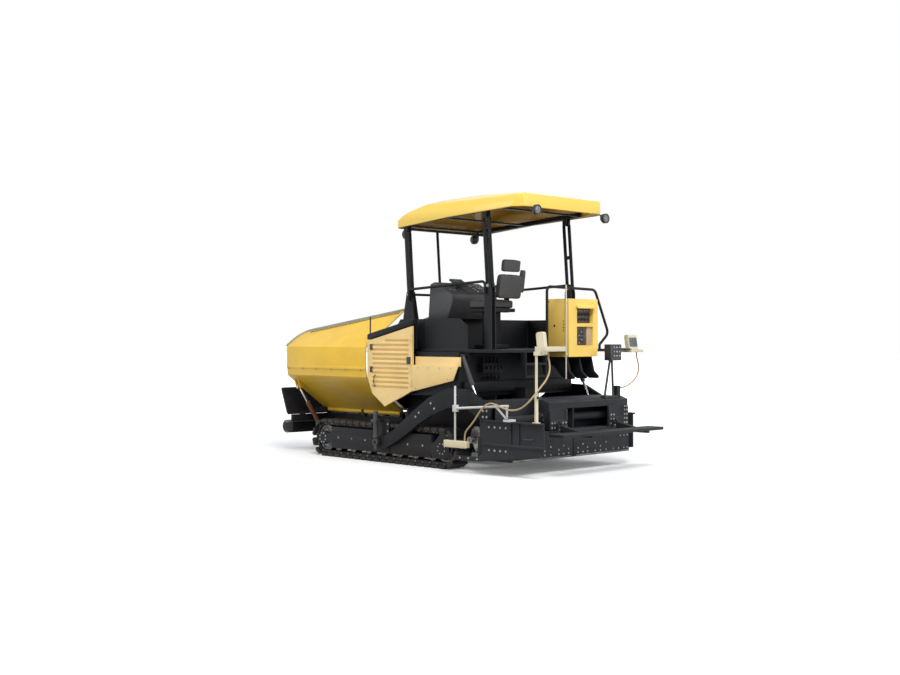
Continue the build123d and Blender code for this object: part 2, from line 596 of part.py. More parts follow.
# operator's seat: pan, leaning back with its folded armrest, and headrest
pan = fillet(block(SEAT_X - 230, SEAT_X + 240, SEAT_Y - 240, SEAT_Y + 240, SEAT_Z, SEAT_Z + 130).edges(), 28)
back = fillet(block(-115, -10, -230, 230, 60, 400).edges(), 28)
headrest = fillet(block(-100, -20, -170, 170, 430, 600).edges(), 28)
armrest = fillet(block(-90, -20, -292, -225, 150, 470).edges(), 20)
upright = back + headrest + armrest
for y in (-80, 80):
    upright += rod((-60, y, 390), (-60, y, 440), 9)
save("seat", pan, Pos(SEAT_X - 232, SEAT_Y, SEAT_Z + 76) * Rot(0, -8, 0) * upright)
pod_y = SEAT_Y - 330
save("seat_frame",
     fuse([block(SEAT_X - 170, SEAT_X + 170, SEAT_Y - 170, SEAT_Y + 170, DECK_Z, DECK_Z + 60),
           block(SEAT_X - 90, SEAT_X + 90, SEAT_Y - 90, SEAT_Y + 90, DECK_Z + 60, SEAT_Z - 50),
           block(SEAT_X - 260, SEAT_X + 220, SEAT_Y - 200, SEAT_Y + 200, SEAT_Z - 50, SEAT_Z),
           block(SEAT_X - 30, SEAT_X + 50, pod_y, SEAT_Y - 200, SEAT_Z - 50, SEAT_Z - 20),
           block(SEAT_X - 30, SEAT_X + 50, pod_y, pod_y + 30, SEAT_Z - 50, SEAT_Z + 170),
           block(SEAT_X - 90, SEAT_X + 210, pod_y - 10, pod_y + 80, SEAT_Z + 170, SEAT_Z + 225)]))
console_outline = [(-300, 2060), (-700, 2060), (-800, 2310), (-790, 2410), (-430, 2590), (-340, 2560)]
save("operator_console", side_plate(console_outline, -140, 770))

# yellow cabinet with two recessed panels in its rear face
cabinet = block(*CABINET, CABINET_BOTTOM, CABINET_TOP)
recess_y = (CABINET[2] + 90, CABINET[3] - 190)
for low, high, depth in ((2000, 2210, 70), (1690, 1950, 45)):
    cabinet -= block(CABINET[0], CABINET[0] + depth, *recess_y, low, high)
cabinet += side_plate([(CABINET[0], 2225), (CABINET[0], 2260), (CABINET[0] - 45, 2225),
                       (CABINET[0] - 45, 2205),
                       (CABINET[0] - 35, 2205)], recess_y[0] - 15, recess_y[1] + 15)
for y in (CABINET[2], CABINET[3] - 10):
    cabinet += block(CABINET[0] - 12, CABINET[0], y, y + 10, CABINET_BOTTOM, CABINET_TOP)
cabinet += block(CABINET[0] - 12, CABINET[0], CABINET[2], CABINET[3], CABINET_BOTTOM, CABINET_BOTTOM + 14)
save("control_cabinet", cabinet)

# handrails: across the rear with a loop that leans out at the right, and one between the posts on each side
rail_x = DECK_REAR + 25
rails = [bent_tube([(rail_x, 120, DECK_Z), (rail_x, 120, 2500), (rail_x, -910, 2480), (rail_x, -1215, 1860),
                    (rail_x, -1015, 1700), (rail_x, -1015, DECK_Z)], [70, 110, 90, 25], RAIL_TUBE)]
side_rail_y = POST_Y + CHEEK_INNER + CHEEK + RAIL_TUBE
front_end, rear_end = FRONT_PIVOT[0] - 30, REAR_PIVOT[0] + 30
for side in (1, -1):
    y = side * side_rail_y
    rails.append(bent_tube([(front_end, y, 2330), (front_end, y, 2490), (rear_end, y, 2560),
                            (rear_end, y, 2400)],
                           [60, 60], RAIL_TUBE))
# slim pole clipped to the cabinet's corner
pole_x, pole_y = CABINET[0] + 20, CABINET[3] + 22
rails.append(rod((pole_x, pole_y, 1225), (pole_x, pole_y, 2530), 10)
             + block(pole_x - 12, pole_x + 12, CABINET[3], pole_y, 1560, 1580)
             + block(pole_x - 12, pole_x + 12, CABINET[3], pole_y, 2290, 2310))
save("handrails", *rails)

# valve block on the housing's rear wall with its steel pipes
VALVE_Y = (430, 800)
VALVES = 5
valve_x = HOUSING_REAR - 110
valves = [block(valve_x, HOUSING_REAR, *VALVE_Y, 1320, 1450)]
for n in range(VALVES):
    y = VALVE_Y[0] + 45 + n * (VALVE_Y[1] - VALVE_Y[0] - 90) / (VALVES - 1)
    valves.append(rod((valve_x + 40, y, 1445), (valve_x + 40, y, 1525), 22))
    valves.append(rod((valve_x - 60, y, 1385), (valve_x + 5, y, 1385), 20))
    valves.append(bent_tube([(valve_x + 20, y, 1325), (valve_x + 20, y, 1260), (valve_x + 80, y - 40, 1235),
                             (valve_x + 80, y - 40, 1200)],
                            [24, 14], 11))
save("hydraulics", fuse(valves))

# ---------------------------------------------------------------- tow points
tow_cyl_y = ARM_Y + ARM_THICK + 11 + 34
tow_clamp_z = 590
tow = fuse([block(TOW_X - 170, TOW_X + 170, shield_y, ARM_Y - 8, 170, tow_clamp_z + 40),
            shaft_y(TOW_X, TOW_Z, shield_y, tow_cyl_y + 18, TOW_PIN),
            block(TOW_X - 45, TOW_X + 45, ARM_Y - 9, tow_cyl_y - 34, tow_clamp_z, tow_clamp_z + 40)])
save_both("tow_points", tow)
# levelling cylinder: its barrel hangs in a clamp and its eye holds the tow pin
eye = shaft_y(TOW_X, TOW_Z, tow_cyl_y - 20, tow_cyl_y + 20, TOW_PIN + 20)
level = fuse([rod((TOW_X, tow_cyl_y, 380), (TOW_X, tow_cyl_y, 745), 34),
              rod((TOW_X, tow_cyl_y, 365), (TOW_X, tow_cyl_y, 395), 39),
              rod((TOW_X, tow_cyl_y, 200), (TOW_X, tow_cyl_y, 370), 17), eye,
              rod((TOW_X, tow_cyl_y, 195), (TOW_X, tow_cyl_y, 225), 26),
              block(TOW_X - 50, TOW_X + 50, tow_cyl_y - 34, tow_cyl_y + 45, tow_clamp_z, tow_clamp_z + 40)])
save_both("tow_cylinders", level - shaft_y(TOW_X, TOW_Z, tow_cyl_y - 40, tow_cyl_y + 40, TOW_PIN))

# ---------------------------------------------------------------- tow arms
arm_outline = [(TOW_X + 95, 250), (TOW_X + 100, 330), (TOW_X + 40, 375), (90, 400), (-110, 510), (-300, 640),
               (-470, 760),
               (-800, 970), (-1200, 1120), (-1560, 1110), (-1940, 930), (-1990, 860), (-1990, 720),
               (-1800, 720),
               (-1500, 880), (-1200, 850), (-860, 730), (-600, 600), (-340, 440), (-130, 330), (90, 225),
               (TOW_X, 212)]
arm = side_plate(arm_outline, ARM_Y, ARM_Y + ARM_THICK)
arm -= shaft_y(TOW_X, TOW_Z, ARM_Y - 10, ARM_Y + ARM_THICK + 10, TOW_PIN + PIN_GAP)
LIFT_FOOT = (-1390, 1550)
LIFT_EYE = (-1700, 900)
LIFT_Y = ARM_Y - 45
LIFT_PIN = 16
save_both("tow_arms", arm + shaft_y(*LIFT_EYE, LIFT_Y - 30, ARM_Y, LIFT_PIN))

# ---------------------------------------------------------------- rear crossbar with the lift cylinders' brackets
lift_bracket = fuse([block(HOUSING_REAR - 110, HOUSING_REAR, LIFT_Y - 95, LIFT_Y - 45, LIFT_FOOT[1] - 70,
                           LIFT_FOOT[1] + 48),
                     shaft_y(*LIFT_FOOT, LIFT_Y - 85, LIFT_Y + 40, LIFT_PIN)])
drive_half = 105
STUB_END = 300
crossbar = fuse([block(HOUSING_REAR - 60, HOUSING_REAR, 45 - LIFT_Y, LIFT_Y - 45, 1060, 1200),
                 block(AUGER_X - 60, HOUSING_REAR, -drive_half, drive_half, AUGER_Z + 70, 1100),
                 block(AUGER_X - 60, AUGER_X + 60, -drive_half, drive_half, AUGER_Z - 80, AUGER_Z + 80),
                 shaft_y(AUGER_X, AUGER_Z, -STUB_END, STUB_END, AUGER_STUB)])
save("rear_crossbar", crossbar, lift_bracket, mirrored(lift_bracket))
lift_barrel, lift_rod = cylinder_pair((LIFT_FOOT[0], LIFT_Y, LIFT_FOOT[1]),
                                      (LIFT_EYE[0], LIFT_Y, LIFT_EYE[1]),
                                      32, 18, LIFT_PIN, 4, (0, 1, 0))
save_pair("lift_barrel", lift_barrel)
save_pair("lift_rod", lift_rod)

# ---------------------------------------------------------------- screed: main body
top_half = ARM_Y
main_front = EXT_FRONT + CLEAR
box_left = 490              # the rear box ends here on the left, where the walkway is set back
box_z0 = EXT_TOP + CLEAR
walkway = [(main_front, SCREED_TOP), (SCREED_REAR + 110, SCREED_TOP), (SCREED_REAR, SCREED_TOP - 40),
           (SCREED_REAR, SCREED_TOP - 120),
           (SCREED_REAR + 14, SCREED_TOP - 120), (SCREED_REAR + 14, SCREED_TOP - 56),
           (SCREED_REAR + 116, SCREED_TOP - 22),
           (main_front, SCREED_TOP - 22)]
screed = [block(main_front, SCREED_FRONT, -top_half, top_half, SCREED_TOP - 45, SCREED_TOP),
          side_plate(walkway, -top_half, box_left),
          block(SCREED_FRONT - 60, SCREED_FRONT, -top_half, top_half, 500, SCREED_TOP - 45),
          block(main_front, SCREED_FRONT, -SCREED_HALF, SCREED_HALF, SCREED_BOTTOM, 500),
          block(main_front, main_front + 20, -top_half, top_half, 500, SCREED_TOP - 45)]
rear_side = [(main_front, box_z0), (SCREED_REAR, box_z0), (SCREED_REAR, SCREED_TOP - 45),
             (SCREED_REAR + 110, SCREED_TOP - 10),
             (main_front, SCREED_TOP - 10)]
for y0 in (box_left - 14, -8, -top_half):
    wall = side_plate(rear_side, y0, y0 + 14)
    collar = shaft_y(GUIDE_X, GUIDE_Z, y0 - 12, y0 + 26, GUIDE_RADIUS + 22)
    screed.append((wall + collar) - shaft_y(GUIDE_X, GUIDE_Z, y0 - 20, y0 + 40, GUIDE_RADIUS + 2))
REAR_PLATES = ((130, box_left), (-top_half, -750))
FLANGE = 14
for y0, y1 in REAR_PLATES:
    screed.append(block(SCREED_REAR, SCREED_REAR + 20, y0, y1, box_z0, SCREED_TOP - 100))
    screed.append(block(SCREED_REAR - FLANGE, SCREED_REAR, y0 + 15, y1 - 15, EXT_TOP + 30, EXT_TOP + 130))
    for edge in (y0, y1 - 40):
        screed.append(block(SCREED_REAR - FLANGE, SCREED_REAR, edge, edge + 40, box_z0, SCREED_TOP - 130))

BOARD_HINGE_X = SCREED_REAR - 60
BOARD_ARMS = (330, -850)
for y in BOARD_ARMS:
    for edge in (y - 45, y + 31):
        screed.append(side_plate([(SCREED_REAR - 14, 570), (SCREED_REAR - 14, 680),
                                  (BOARD_HINGE_X - 10, BOARD_HINGE_Z + 24),
                                  (BOARD_HINGE_X - 24, BOARD_HINGE_Z),
                                  (BOARD_HINGE_X - 10, BOARD_HINGE_Z - 24)],
                                 edge, edge + 14))
    screed.append(shaft_y(BOARD_HINGE_X, BOARD_HINGE_Z, y - 45, y + 45, 12))
post_x = SCREED_REAR + 60
SOCKET_Y = -1060
MAST_R_Y = -900
screed.append(block(post_x - 35, post_x + 35, SOCKET_Y, SOCKET_Y + 70, SCREED_TOP - 60, SCREED_TOP + 150))
screed.append(block(post_x - 48, post_x + 48, MAST_R_Y - 80, MAST_R_Y + 195, SCREED_TOP - 60, SCREED_TOP))
save("main_screed", fuse(screed))

board = [block(REAR_X, REAR_X + BOARD_WIDTH, -1150, 950, BOARD_TOP - BOARD_THICK, BOARD_TOP)]
for y in BOARD_ARMS:
    arm_side = side_plate([(BOARD_HINGE_X + 20, BOARD_HINGE_Z - 20), (BOARD_HINGE_X + 20, BOARD_HINGE_Z + 20),
                           (BOARD_HINGE_X - 20, BOARD_HINGE_Z + 22),
                           (REAR_X + BOARD_WIDTH - 5, BOARD_TOP - 2),
                           (REAR_X + BOARD_WIDTH - 5, BOARD_TOP - 70), (BOARD_HINGE_X - 60, BOARD_TOP - 60)],
                           y - 25, y + 25)
    board.append(arm_side)
    board.append(block(REAR_X + 30, REAR_X + BOARD_WIDTH, y - 25, y + 25, BOARD_TOP - 72,
                       BOARD_TOP - BOARD_THICK))
board = fuse(board)
for y in BOARD_ARMS:
    board -= shaft_y(BOARD_HINGE_X, BOARD_HINGE_Z, y - 30, y + 30, 12 + PIN_GAP)
save("footboard", board)

# ---------------------------------------------------------------- screed extensions and end gates
gate_inner = GATE_Y - GATE_PLATE
unit = fuse([block(SCREED_REAR, EXT_FRONT, CLEAR, SCREED_HALF, SCREED_BOTTOM, EXT_TOP),
             block(SCREED_REAR + 30, EXT_FRONT, SCREED_HALF, gate_inner, SCREED_BOTTOM + 60, EXT_TOP - 20),
             block(GUIDE_X - 70, GUIDE_X + 70, SCREED_HALF + 6, gate_inner, EXT_TOP - 40, GUIDE_Z + 90),
             shaft_y(GUIDE_X, GUIDE_Z, 60, SCREED_HALF + 10, GUIDE_RADIUS)])
save_pair("extension", unit)

gate_front = [(GATE_FRONT, GATE_TOP - 60), (GATE_FRONT - 60, GATE_TOP)]
gate_toe = [(GATE_FRONT + 60, 175), (-1420, 165), (-1370, 190), (-1380, 230), (GATE_FRONT + 60, 240),
            (GATE_FRONT, 300)]
left_outline = gate_front + [(GATE_REAR, GATE_TOP), (GATE_REAR, 340), (GATE_REAR + 60, 300)] + gate_toe
right_outline = gate_front + [(SCREED_REAR - 30, GATE_TOP), (SCREED_REAR - 30, 240)] + gate_toe
gate = side_plate(left_outline, gate_inner, GATE_Y)
gate += block(GATE_REAR, GATE_FRONT - 60, GATE_Y, GATE_Y + 45, GATE_TOP - 22, GATE_TOP)
gate += block(GATE_REAR + 10, GATE_FRONT - 20, GATE_Y, GATE_Y + 22, 400, 430)
save("end_gate_left", gate)
gate = side_plate(right_outline, -GATE_Y, -gate_inner)
gate += block(SCREED_REAR - 30, GATE_FRONT - 60, -GATE_Y - 45, -GATE_Y, GATE_TOP - 22, GATE_TOP)
save("end_gate_right", gate)

# ---------------------------------------------------------------- remote consoles
MAST_X = -2860
MAST_Y = GATE_Y + 22
mast = fuse([rod((MAST_X, MAST_Y, GATE_TOP), (MAST_X, MAST_Y, 1580), 17),
             rod((MAST_X, MAST_Y, GATE_TOP), (MAST_X, MAST_Y, 1090), 24),
             block(MAST_X - 50, MAST_X + 50, MAST_Y - 22, MAST_Y + 22, GATE_TOP, GATE_TOP + 12)])
TRAY_Z = 1625
TRAY = (MAST_X - 125, MAST_X + 45, GATE_Y - 390, GATE_Y)     # x0, x1, y0, y1
head_left = [block(*TRAY, TRAY_Z, TRAY_Z + 14)]
head_left.append(block(TRAY[0], TRAY[1], TRAY[2], TRAY[3], TRAY_Z, TRAY_Z + 62)
                 - block(TRAY[0] + 10, TRAY[1] - 10, TRAY[2] + 10, TRAY[3] - 10, TRAY_Z + 14, TRAY_Z + 70))
shield = fillet(block(-58, 58, -32, 32, -120, 175).edges().filter_by(Axis.Y), 34)
head_left.append(Pos(MAST_X - 45, TRAY[3] - 34, TRAY_Z + 70) * Rot(0, 7, 0) * shield)
head_left.append(block(MAST_X - 60, MAST_X + 30, TRAY[3] - 20, MAST_Y + 20, TRAY_Z - 50, TRAY_Z))
head_left = fuse(head_left)
save("remote_left", mast + head_left)
head_right = fuse([block(post_x - 45, post_x + 45, MAST_R_Y - 75, MAST_R_Y + 190, SCREED_TOP,
                         SCREED_TOP + 14),
                   rod((post_x, MAST_R_Y + 150, SCREED_TOP + 8), (post_x, MAST_R_Y + 30, 1500), 16),
                   rod((post_x, MAST_R_Y - 40, SCREED_TOP + 8), (post_x, MAST_R_Y - 10, 1500), 16),
                   block(post_x - 60, post_x + 60, -1050, -820, 1480, 1700),
                   block(post_x - 25, post_x + 25, -1180, -1040, 1590, 1630),
                   block(post_x - 150, post_x + 30, -SPAN_Y, -1160, 1590, 1630),
                   Pos(post_x - 40, -1300, 1725) * Rot(0, 8,
                                                       0) * fillet(Box(70, 200,
                                                           230).edges().filter_by(Axis.Y), 24)])
save("remote_right", head_right)

# ---------------------------------------------------------------- levelling sensor rig
RIG_Y = GATE_Y + 110
ROD_X = -1500
FOOT_X = -2440
rig = [rod((ROD_X, RIG_Y, 440), (ROD_X, RIG_Y, 1160), 14),
       rod((ROD_X + 30, RIG_Y, 862), (FOOT_X - 20, RIG_Y, 932), 16),
       rod((-2250, RIG_Y, 912), (FOOT_X, RIG_Y, 760), 13),
       rod((FOOT_X, RIG_Y, 930), (FOOT_X, RIG_Y, GATE_TOP), 13),
       block(FOOT_X - 50, FOOT_X + 50, GATE_Y, RIG_Y + 18, GATE_TOP, GATE_TOP + 30),
       block(ROD_X - 45, ROD_X + 25, RIG_Y - 26, RIG_Y + 26, 820, 910)]
save("sensor_rig", fuse(rig))
SENSOR = (-1740, -1310)
save("levelling_sensor", block(*SENSOR, RIG_Y - 35, SPAN_Y, 345, 440))

# ---------------------------------------------------------------- sensor cables
CABLE = 22


def cable(name, points):
    """A tube of straight runs joined by arcs as large as the runs allow."""
    path_points = [Vector(*point) for point in points]
    radii = []
    for before, here, after in zip(path_points, path_points[1:], path_points[2:]):
        turn = radians((here - before).get_angle(after - here))
        shorter = min((here - before).length, (after - here).length)
        radii.append(0.45 * shorter / (sin(turn / 2) / cos(turn / 2)))
    tube = bent_tube(points, radii, CABLE / 2)
    length = tube.volume / (pi * CABLE ** 2 / 4)
    print(name, "length", round(length), "smallest radius", round(min(radii)), "radii",
          [round(r) for r in radii])
    save(name, tube)


cable("cable_left",
      [(-2900, 1135, TRAY_Z), (-2900, 1135, 1545), (-2915, 1120, 1455), (-2935, 1150, 1360),
       (-2947, 1225, 1270),
       (-2947, 1320, 1190), (-2930, 1405, 1105), (-2880, 1448, 1020), (-2795, 1454, 950), (-2690, 1450, 900),
       (-2560, 1447, 880), (-2425, 1445, 900), (-2295, 1445, 948), (-2165, 1446, 962), (-2060, 1447, 905),
       (-1975, 1446, 810), (-1895, 1445, 715), (-1812, 1438, 640), (-1730, 1424, 580), (-1685, 1405, 515),
       (-1685, 1405, 440)])
cable("cable_right",
      [(post_x - 60, -1400, 1590), (post_x - 60, -1400, 1520), (post_x - 60, -1440, 1440),
       (post_x - 52, -1465, 1350),
       (post_x - 40, -1450, 1260), (post_x - 25, -1375, 1180), (post_x - 12, -1275, 1120),
       (post_x, -1165, 1090),
       (post_x, SOCKET_Y, 1090)])

# ---------------------------------------------------------------- augers
def screw(side):
    """Hollow shaft with a helical flight, left- or right-handed so that both throw mix outwards."""
    start, end = 125, ARM_Y - 40
    shaft = shaft_y(AUGER_X, AUGER_Z, side * start, side * end, AUGER_SHAFT)
    shaft -= shaft_y(AUGER_X, AUGER_Z, side * (start - 5), side * (STUB_END + 5), AUGER_STUB + PIN_GAP)
    spans = 15              # spans of the flight in each turn
    turns = (end - start - 60) / AUGER_PITCH
    sections = []
    for n in range(int(turns * spans) + 1):
        y = side * (start + 30 + n * AUGER_PITCH / spans)
        radial = Plane(origin=(AUGER_X, y, AUGER_Z), x_dir=(cos(2 * pi * n / spans), 0,
                                                            sin(2 * pi * n / spans)), z_dir=(
            -sin(2 * pi * n / spans), 0, cos(2 * pi * n / spans)))
        middle = (AUGER_RADIUS + AUGER_SHAFT - 6) / 2
        sections.append(radial * Pos(middle, 0) * Rectangle(AUGER_RADIUS - AUGER_SHAFT + 6, FLIGHT_THICK))
    return shaft + loft(sections, ruled=True)


save("auger_left", screw(1))
save("auger_right", screw(-1))

# ---------------------------------------------------------------- canopy
sides = (POST_Y, -POST_Y)
post_length = hypot(POST_RISE, POST_LEAN)


def leaning(pivot, piece):
    """Stand a post built along +Z from its lower pivot in its place."""
    return Pos(pivot[0], 0, pivot[1]) * Rot(0, degrees(atan2(POST_LEAN, POST_RISE)), 0) * piece


pin_end = CHEEK_INNER + CHEEK + 2
NECK = 50                   # the upper ends are narrow or short, to turn under the frame
front_posts = [shaft_y(0, 0, -POST_Y - pin_end, POST_Y + pin_end, POST_PIN),
               rod((0, 240, 0), (0, 240, post_length - 20), 20),
               shaft_y(0, post_length, -POST_Y - pin_end, POST_Y + pin_end, POST_PIN)]
for y in sides:
    front_posts.append(block(-45, 45, y - POST_HALF, y + POST_HALF, -20, post_length - NECK))
    front_posts.append(block(-32, 32, y - POST_HALF, y + POST_HALF, post_length - NECK, post_length + 14))
save("canopy_front_posts", leaning(FRONT_PIVOT, fuse(front_posts)))

TUBE_OFFSET = 48
RUNG = 50
rear_posts = []
for y in sides:
    pieces = [rod((x, y, -20), (x, y, post_length - NECK / 2), 24) for x in (-TUBE_OFFSET, TUBE_OFFSET)]
    for z in (-RUNG / 2, 0.45 * post_length, post_length - RUNG / 2):
        pieces.append(block(-TUBE_OFFSET, TUBE_OFFSET, y - 12, y + 12, z, z + RUNG))
    for z in (0, post_length):
        pieces.append(shaft_y(0, z, y - pin_end, y + pin_end, POST_PIN))
    rear_posts.append(leaning(REAR_PIVOT, fuse(pieces)))
save("canopy_rear_posts", *rear_posts)

# the frame lies inside the roof: side beams that rise to the rear, cross beams, and hangers over the posts
BEAM_FRONT = (FRONT_PIVOT[0] + 175, FRONT_PIVOT[1] + POST_RISE + 38)
BEAM_REAR = (REAR_PIVOT[0] - 200, REAR_PIVOT[1] + POST_RISE + 78)
BEAM_DEPTH = 60
wall_y = CANOPY_HALF - CANOPY_WALL


def beam_z(x):
    """Underside of the side beams."""
    slope = (BEAM_REAR[1] - BEAM_FRONT[1]) / (BEAM_REAR[0] - BEAM_FRONT[0])
    return BEAM_FRONT[1] + slope * (x - BEAM_FRONT[0])


frame_pieces = []
beam_outline = [BEAM_FRONT, BEAM_REAR, (BEAM_REAR[0], BEAM_REAR[1] + BEAM_DEPTH),
                (BEAM_FRONT[0], BEAM_FRONT[1] + BEAM_DEPTH)]
for y in sides:
    frame_pieces.append(side_plate(beam_outline, y - 20, y + 20))
    for x0, z0 in (FRONT_PIVOT, REAR_PIVOT):
        x, z = x0 + POST_LEAN, z0 + POST_RISE
        low = beam_z(x) + 4
        frame_pieces.append(block(x - 60, x + 60, y - CHEEK_INNER - CHEEK, y + CHEEK_INNER + CHEEK, low,
                                  low + 42))
        for edge in (y - CHEEK_INNER - CHEEK, y + CHEEK_INNER):
            hanger = block(x - 36, x + 36, edge, edge + CHEEK, z - 36, low + 10)
            frame_pieces.append(hanger - shaft_y(x, z, edge - 5, edge + CHEEK + 5, POST_PIN + PIN_GAP))
CROSS_BEAMS = (BEAM_FRONT[0] - 25, -700, BEAM_REAR[0] + 50)
for x in CROSS_BEAMS:
    frame_pieces.append(block(x - 25, x + 25, -wall_y, wall_y, beam_z(x) + 6, beam_z(x) + 30))
save("canopy_frame", fuse(frame_pieces))


def roof_solid(inset, lift):
    """Crowned roof from three crossed outlines, each drawn in by the inset."""
    i = inset
    sides = side_plate([(CANOPY_FRONT - i, 3385), (-830, 3470), (-1230, 3492), (CANOPY_REAR + i, 3530),
                        (CANOPY_REAR + i + 12, 3715 - lift),
                        (-1230, 3765 - lift), (-560, 3745 - lift), (20, 3600 - lift),
                        (CANOPY_FRONT - 20 - i, 3480 - lift)],
                       -CANOPY_HALF - 10, CANOPY_HALF + 10)
    half = CANOPY_HALF - i
    plan = [(CANOPY_FRONT - i, half - 60), (CANOPY_FRONT - 60 - i, half), (CANOPY_REAR + 110 + i, half),
            (CANOPY_REAR + i, half - 110),
            (CANOPY_REAR + i, 110 - half), (CANOPY_REAR + 110 + i, -half), (CANOPY_FRONT - 60 - i, -half),
            (CANOPY_FRONT - i, 60 - half)]
    top_view = Pos(0, 0, 3300) * extrude(make_face(Polyline(*plan, close=True)), amount=600)
    section = cross_plate([(half, 3300), (half, 3560), (half - 45, 3690 - lift), (half - 330, 3790 - lift),
                           (330 - half, 3790 - lift),
                           (45 - half, 3690 - lift), (-half, 3560), (-half, 3300)], CANOPY_REAR - 10,
                           CANOPY_FRONT + 10)
    return sides & top_view & section


roof = roof_solid(0, 0) - Pos(0, 0, -1) * roof_solid(CANOPY_WALL, CANOPY_WALL)
save("canopy_roof", roof)

# work lamps: x, y, z of the lens, and the way it looks (1 forward, -1 back)
LAMP_DEPTH = 80
REAR_LAMP_X = CANOPY_REAR - 15 - LAMP_DEPTH
FRONT_LAMP_X = CROSS_BEAMS[0] + 20 + LAMP_DEPTH
LAMPS = ((REAR_LAMP_X, 630, 3490, -1), (REAR_LAMP_X, -800, 3470, -1), (FRONT_LAMP_X, 705, 3310, 1),
         (FRONT_LAMP_X, -705, 3310, 1))
lamps = []
for x, y, z, look in LAMPS:
    bowl = Cylinder(LAMP_RADIUS, LAMP_DEPTH / 2, align=(Align.CENTER, Align.CENTER, Align.MAX))
    bowl += Pos(0, 0, -LAMP_DEPTH / 2) * Cone(LAMP_RADIUS * 0.5, LAMP_RADIUS, LAMP_DEPTH / 2,
                                              align=(Align.CENTER, Align.CENTER, Align.MAX))
    lamp = Pos(x, y, z) * Rot(0, 90 * look, 0) * bowl
    foot = x - look * LAMP_DEPTH
    if look > 0:
        lamp += block(foot - 20, foot + 5, y - 15, y + 15, z - 15, beam_z(CROSS_BEAMS[0]) + 6)
    else:
        lamp += block(foot - 5, foot + 15, y - 15, y + 15, z - 15, 3528)
        lamp += block(foot, foot + 45, y - 15, y + 15, 3518, 3528)
    lamps.append(lamp)
save("canopy_lamps", *lamps)
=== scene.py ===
"""Tracked asphalt paver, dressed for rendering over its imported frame."""
import bpy
import json
import math
from mathutils import Matrix, Vector


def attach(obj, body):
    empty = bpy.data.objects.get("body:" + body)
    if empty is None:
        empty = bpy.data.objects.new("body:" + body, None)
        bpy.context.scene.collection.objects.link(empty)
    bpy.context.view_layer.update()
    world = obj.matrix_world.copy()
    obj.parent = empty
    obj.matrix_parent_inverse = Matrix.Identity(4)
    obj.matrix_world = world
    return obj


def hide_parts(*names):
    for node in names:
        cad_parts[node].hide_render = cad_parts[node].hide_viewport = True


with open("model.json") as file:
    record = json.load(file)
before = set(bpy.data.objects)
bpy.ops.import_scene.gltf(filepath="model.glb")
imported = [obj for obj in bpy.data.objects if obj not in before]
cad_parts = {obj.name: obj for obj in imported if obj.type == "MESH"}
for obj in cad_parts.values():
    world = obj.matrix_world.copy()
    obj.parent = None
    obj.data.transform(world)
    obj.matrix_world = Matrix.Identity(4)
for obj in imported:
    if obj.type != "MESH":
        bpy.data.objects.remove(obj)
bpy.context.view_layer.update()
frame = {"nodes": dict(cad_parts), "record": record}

# -------- camera, daylight and ground
# The machine is seen from behind its left side at a standing person's eye level,
# on a pale yard under a bright, thinly clouded sky.
EYE = (-12.862, 12.466, 1.8)
HEADING = -134          # degrees from +Y, turning left
bpy.ops.object.camera_add(location=EYE, rotation=(math.radians(90), 0, math.radians(HEADING)))
camera = bpy.context.object
camera.data.lens = 48
camera.data.sensor_width = 36
camera.data.clip_end = 300
bpy.context.scene.camera = camera
bpy.context.scene.view_settings.view_transform = "Standard"

PANEL_SIZE = 8          # side of each of the three panels of light
for place, aim, power in (((-13, 9, 17), (0, 0, 1), 3000),
                          ((-16, -6, 8), (-1, 0, 1), 800),
                          ((7, 15, 8), (0, 0, 1), 520)):
    bpy.ops.object.light_add(type="AREA", location=place)
    light = bpy.context.object
    light.data.size = PANEL_SIZE
    light.data.energy = power
    light.rotation_euler = (Vector(aim) - Vector(place)).to_track_quat("-Z", "Y").to_euler()


class Wire:
    """One socket of a finish; plain sums on it add the Math nodes."""

    def __init__(self, finish, socket):
        self.finish = finish
        self.socket = socket

    def combine(self, operation, first, second):
        return self.finish.node("ShaderNodeMath", {0: first, 1: second}, operation=operation)

    def __add__(self, other):
        return self.combine("ADD", self, other)

    def __rsub__(self, other):
        return self.combine("SUBTRACT", other, self)

    def __mul__(self, other):
        return self.combine("MULTIPLY", self, other)

    def most(self, other):
        return self.combine("MAXIMUM", self, other)


class Shading:
    """A node tree and the nodes that are added to it."""

    def __init__(self, tree):
        self.tree = tree

    def node(self, kind, inputs=None, output=0, stops=None, **settings):
        made = self.tree.nodes.new(kind)
        for key, value in settings.items():
            setattr(made, key, value)
        if stops:
            for place, shade in stops[2:]:
                made.color_ramp.elements.new(place)
            for element, (place, shade) in zip(made.color_ramp.elements, stops):
                element.position = place
                element.color = (*shade, 1) if isinstance(shade, tuple) else (shade, shade, shade, 1)
        for key, value in (inputs or {}).items():
            self.feed(made.inputs[key], value)
        return Wire(self, made.outputs[output])

    def feed(self, socket, value):
        if isinstance(value, Wire):
            self.tree.links.new(value.socket, socket)
        elif socket.type == "RGBA":
            socket.default_value = (*value, 1)
        else:
            socket.default_value = value

    def mix(self, amount, first, second):
        return self.node("ShaderNodeMix", {0: amount, 6: first, 7: second}, output=2, data_type="RGBA")


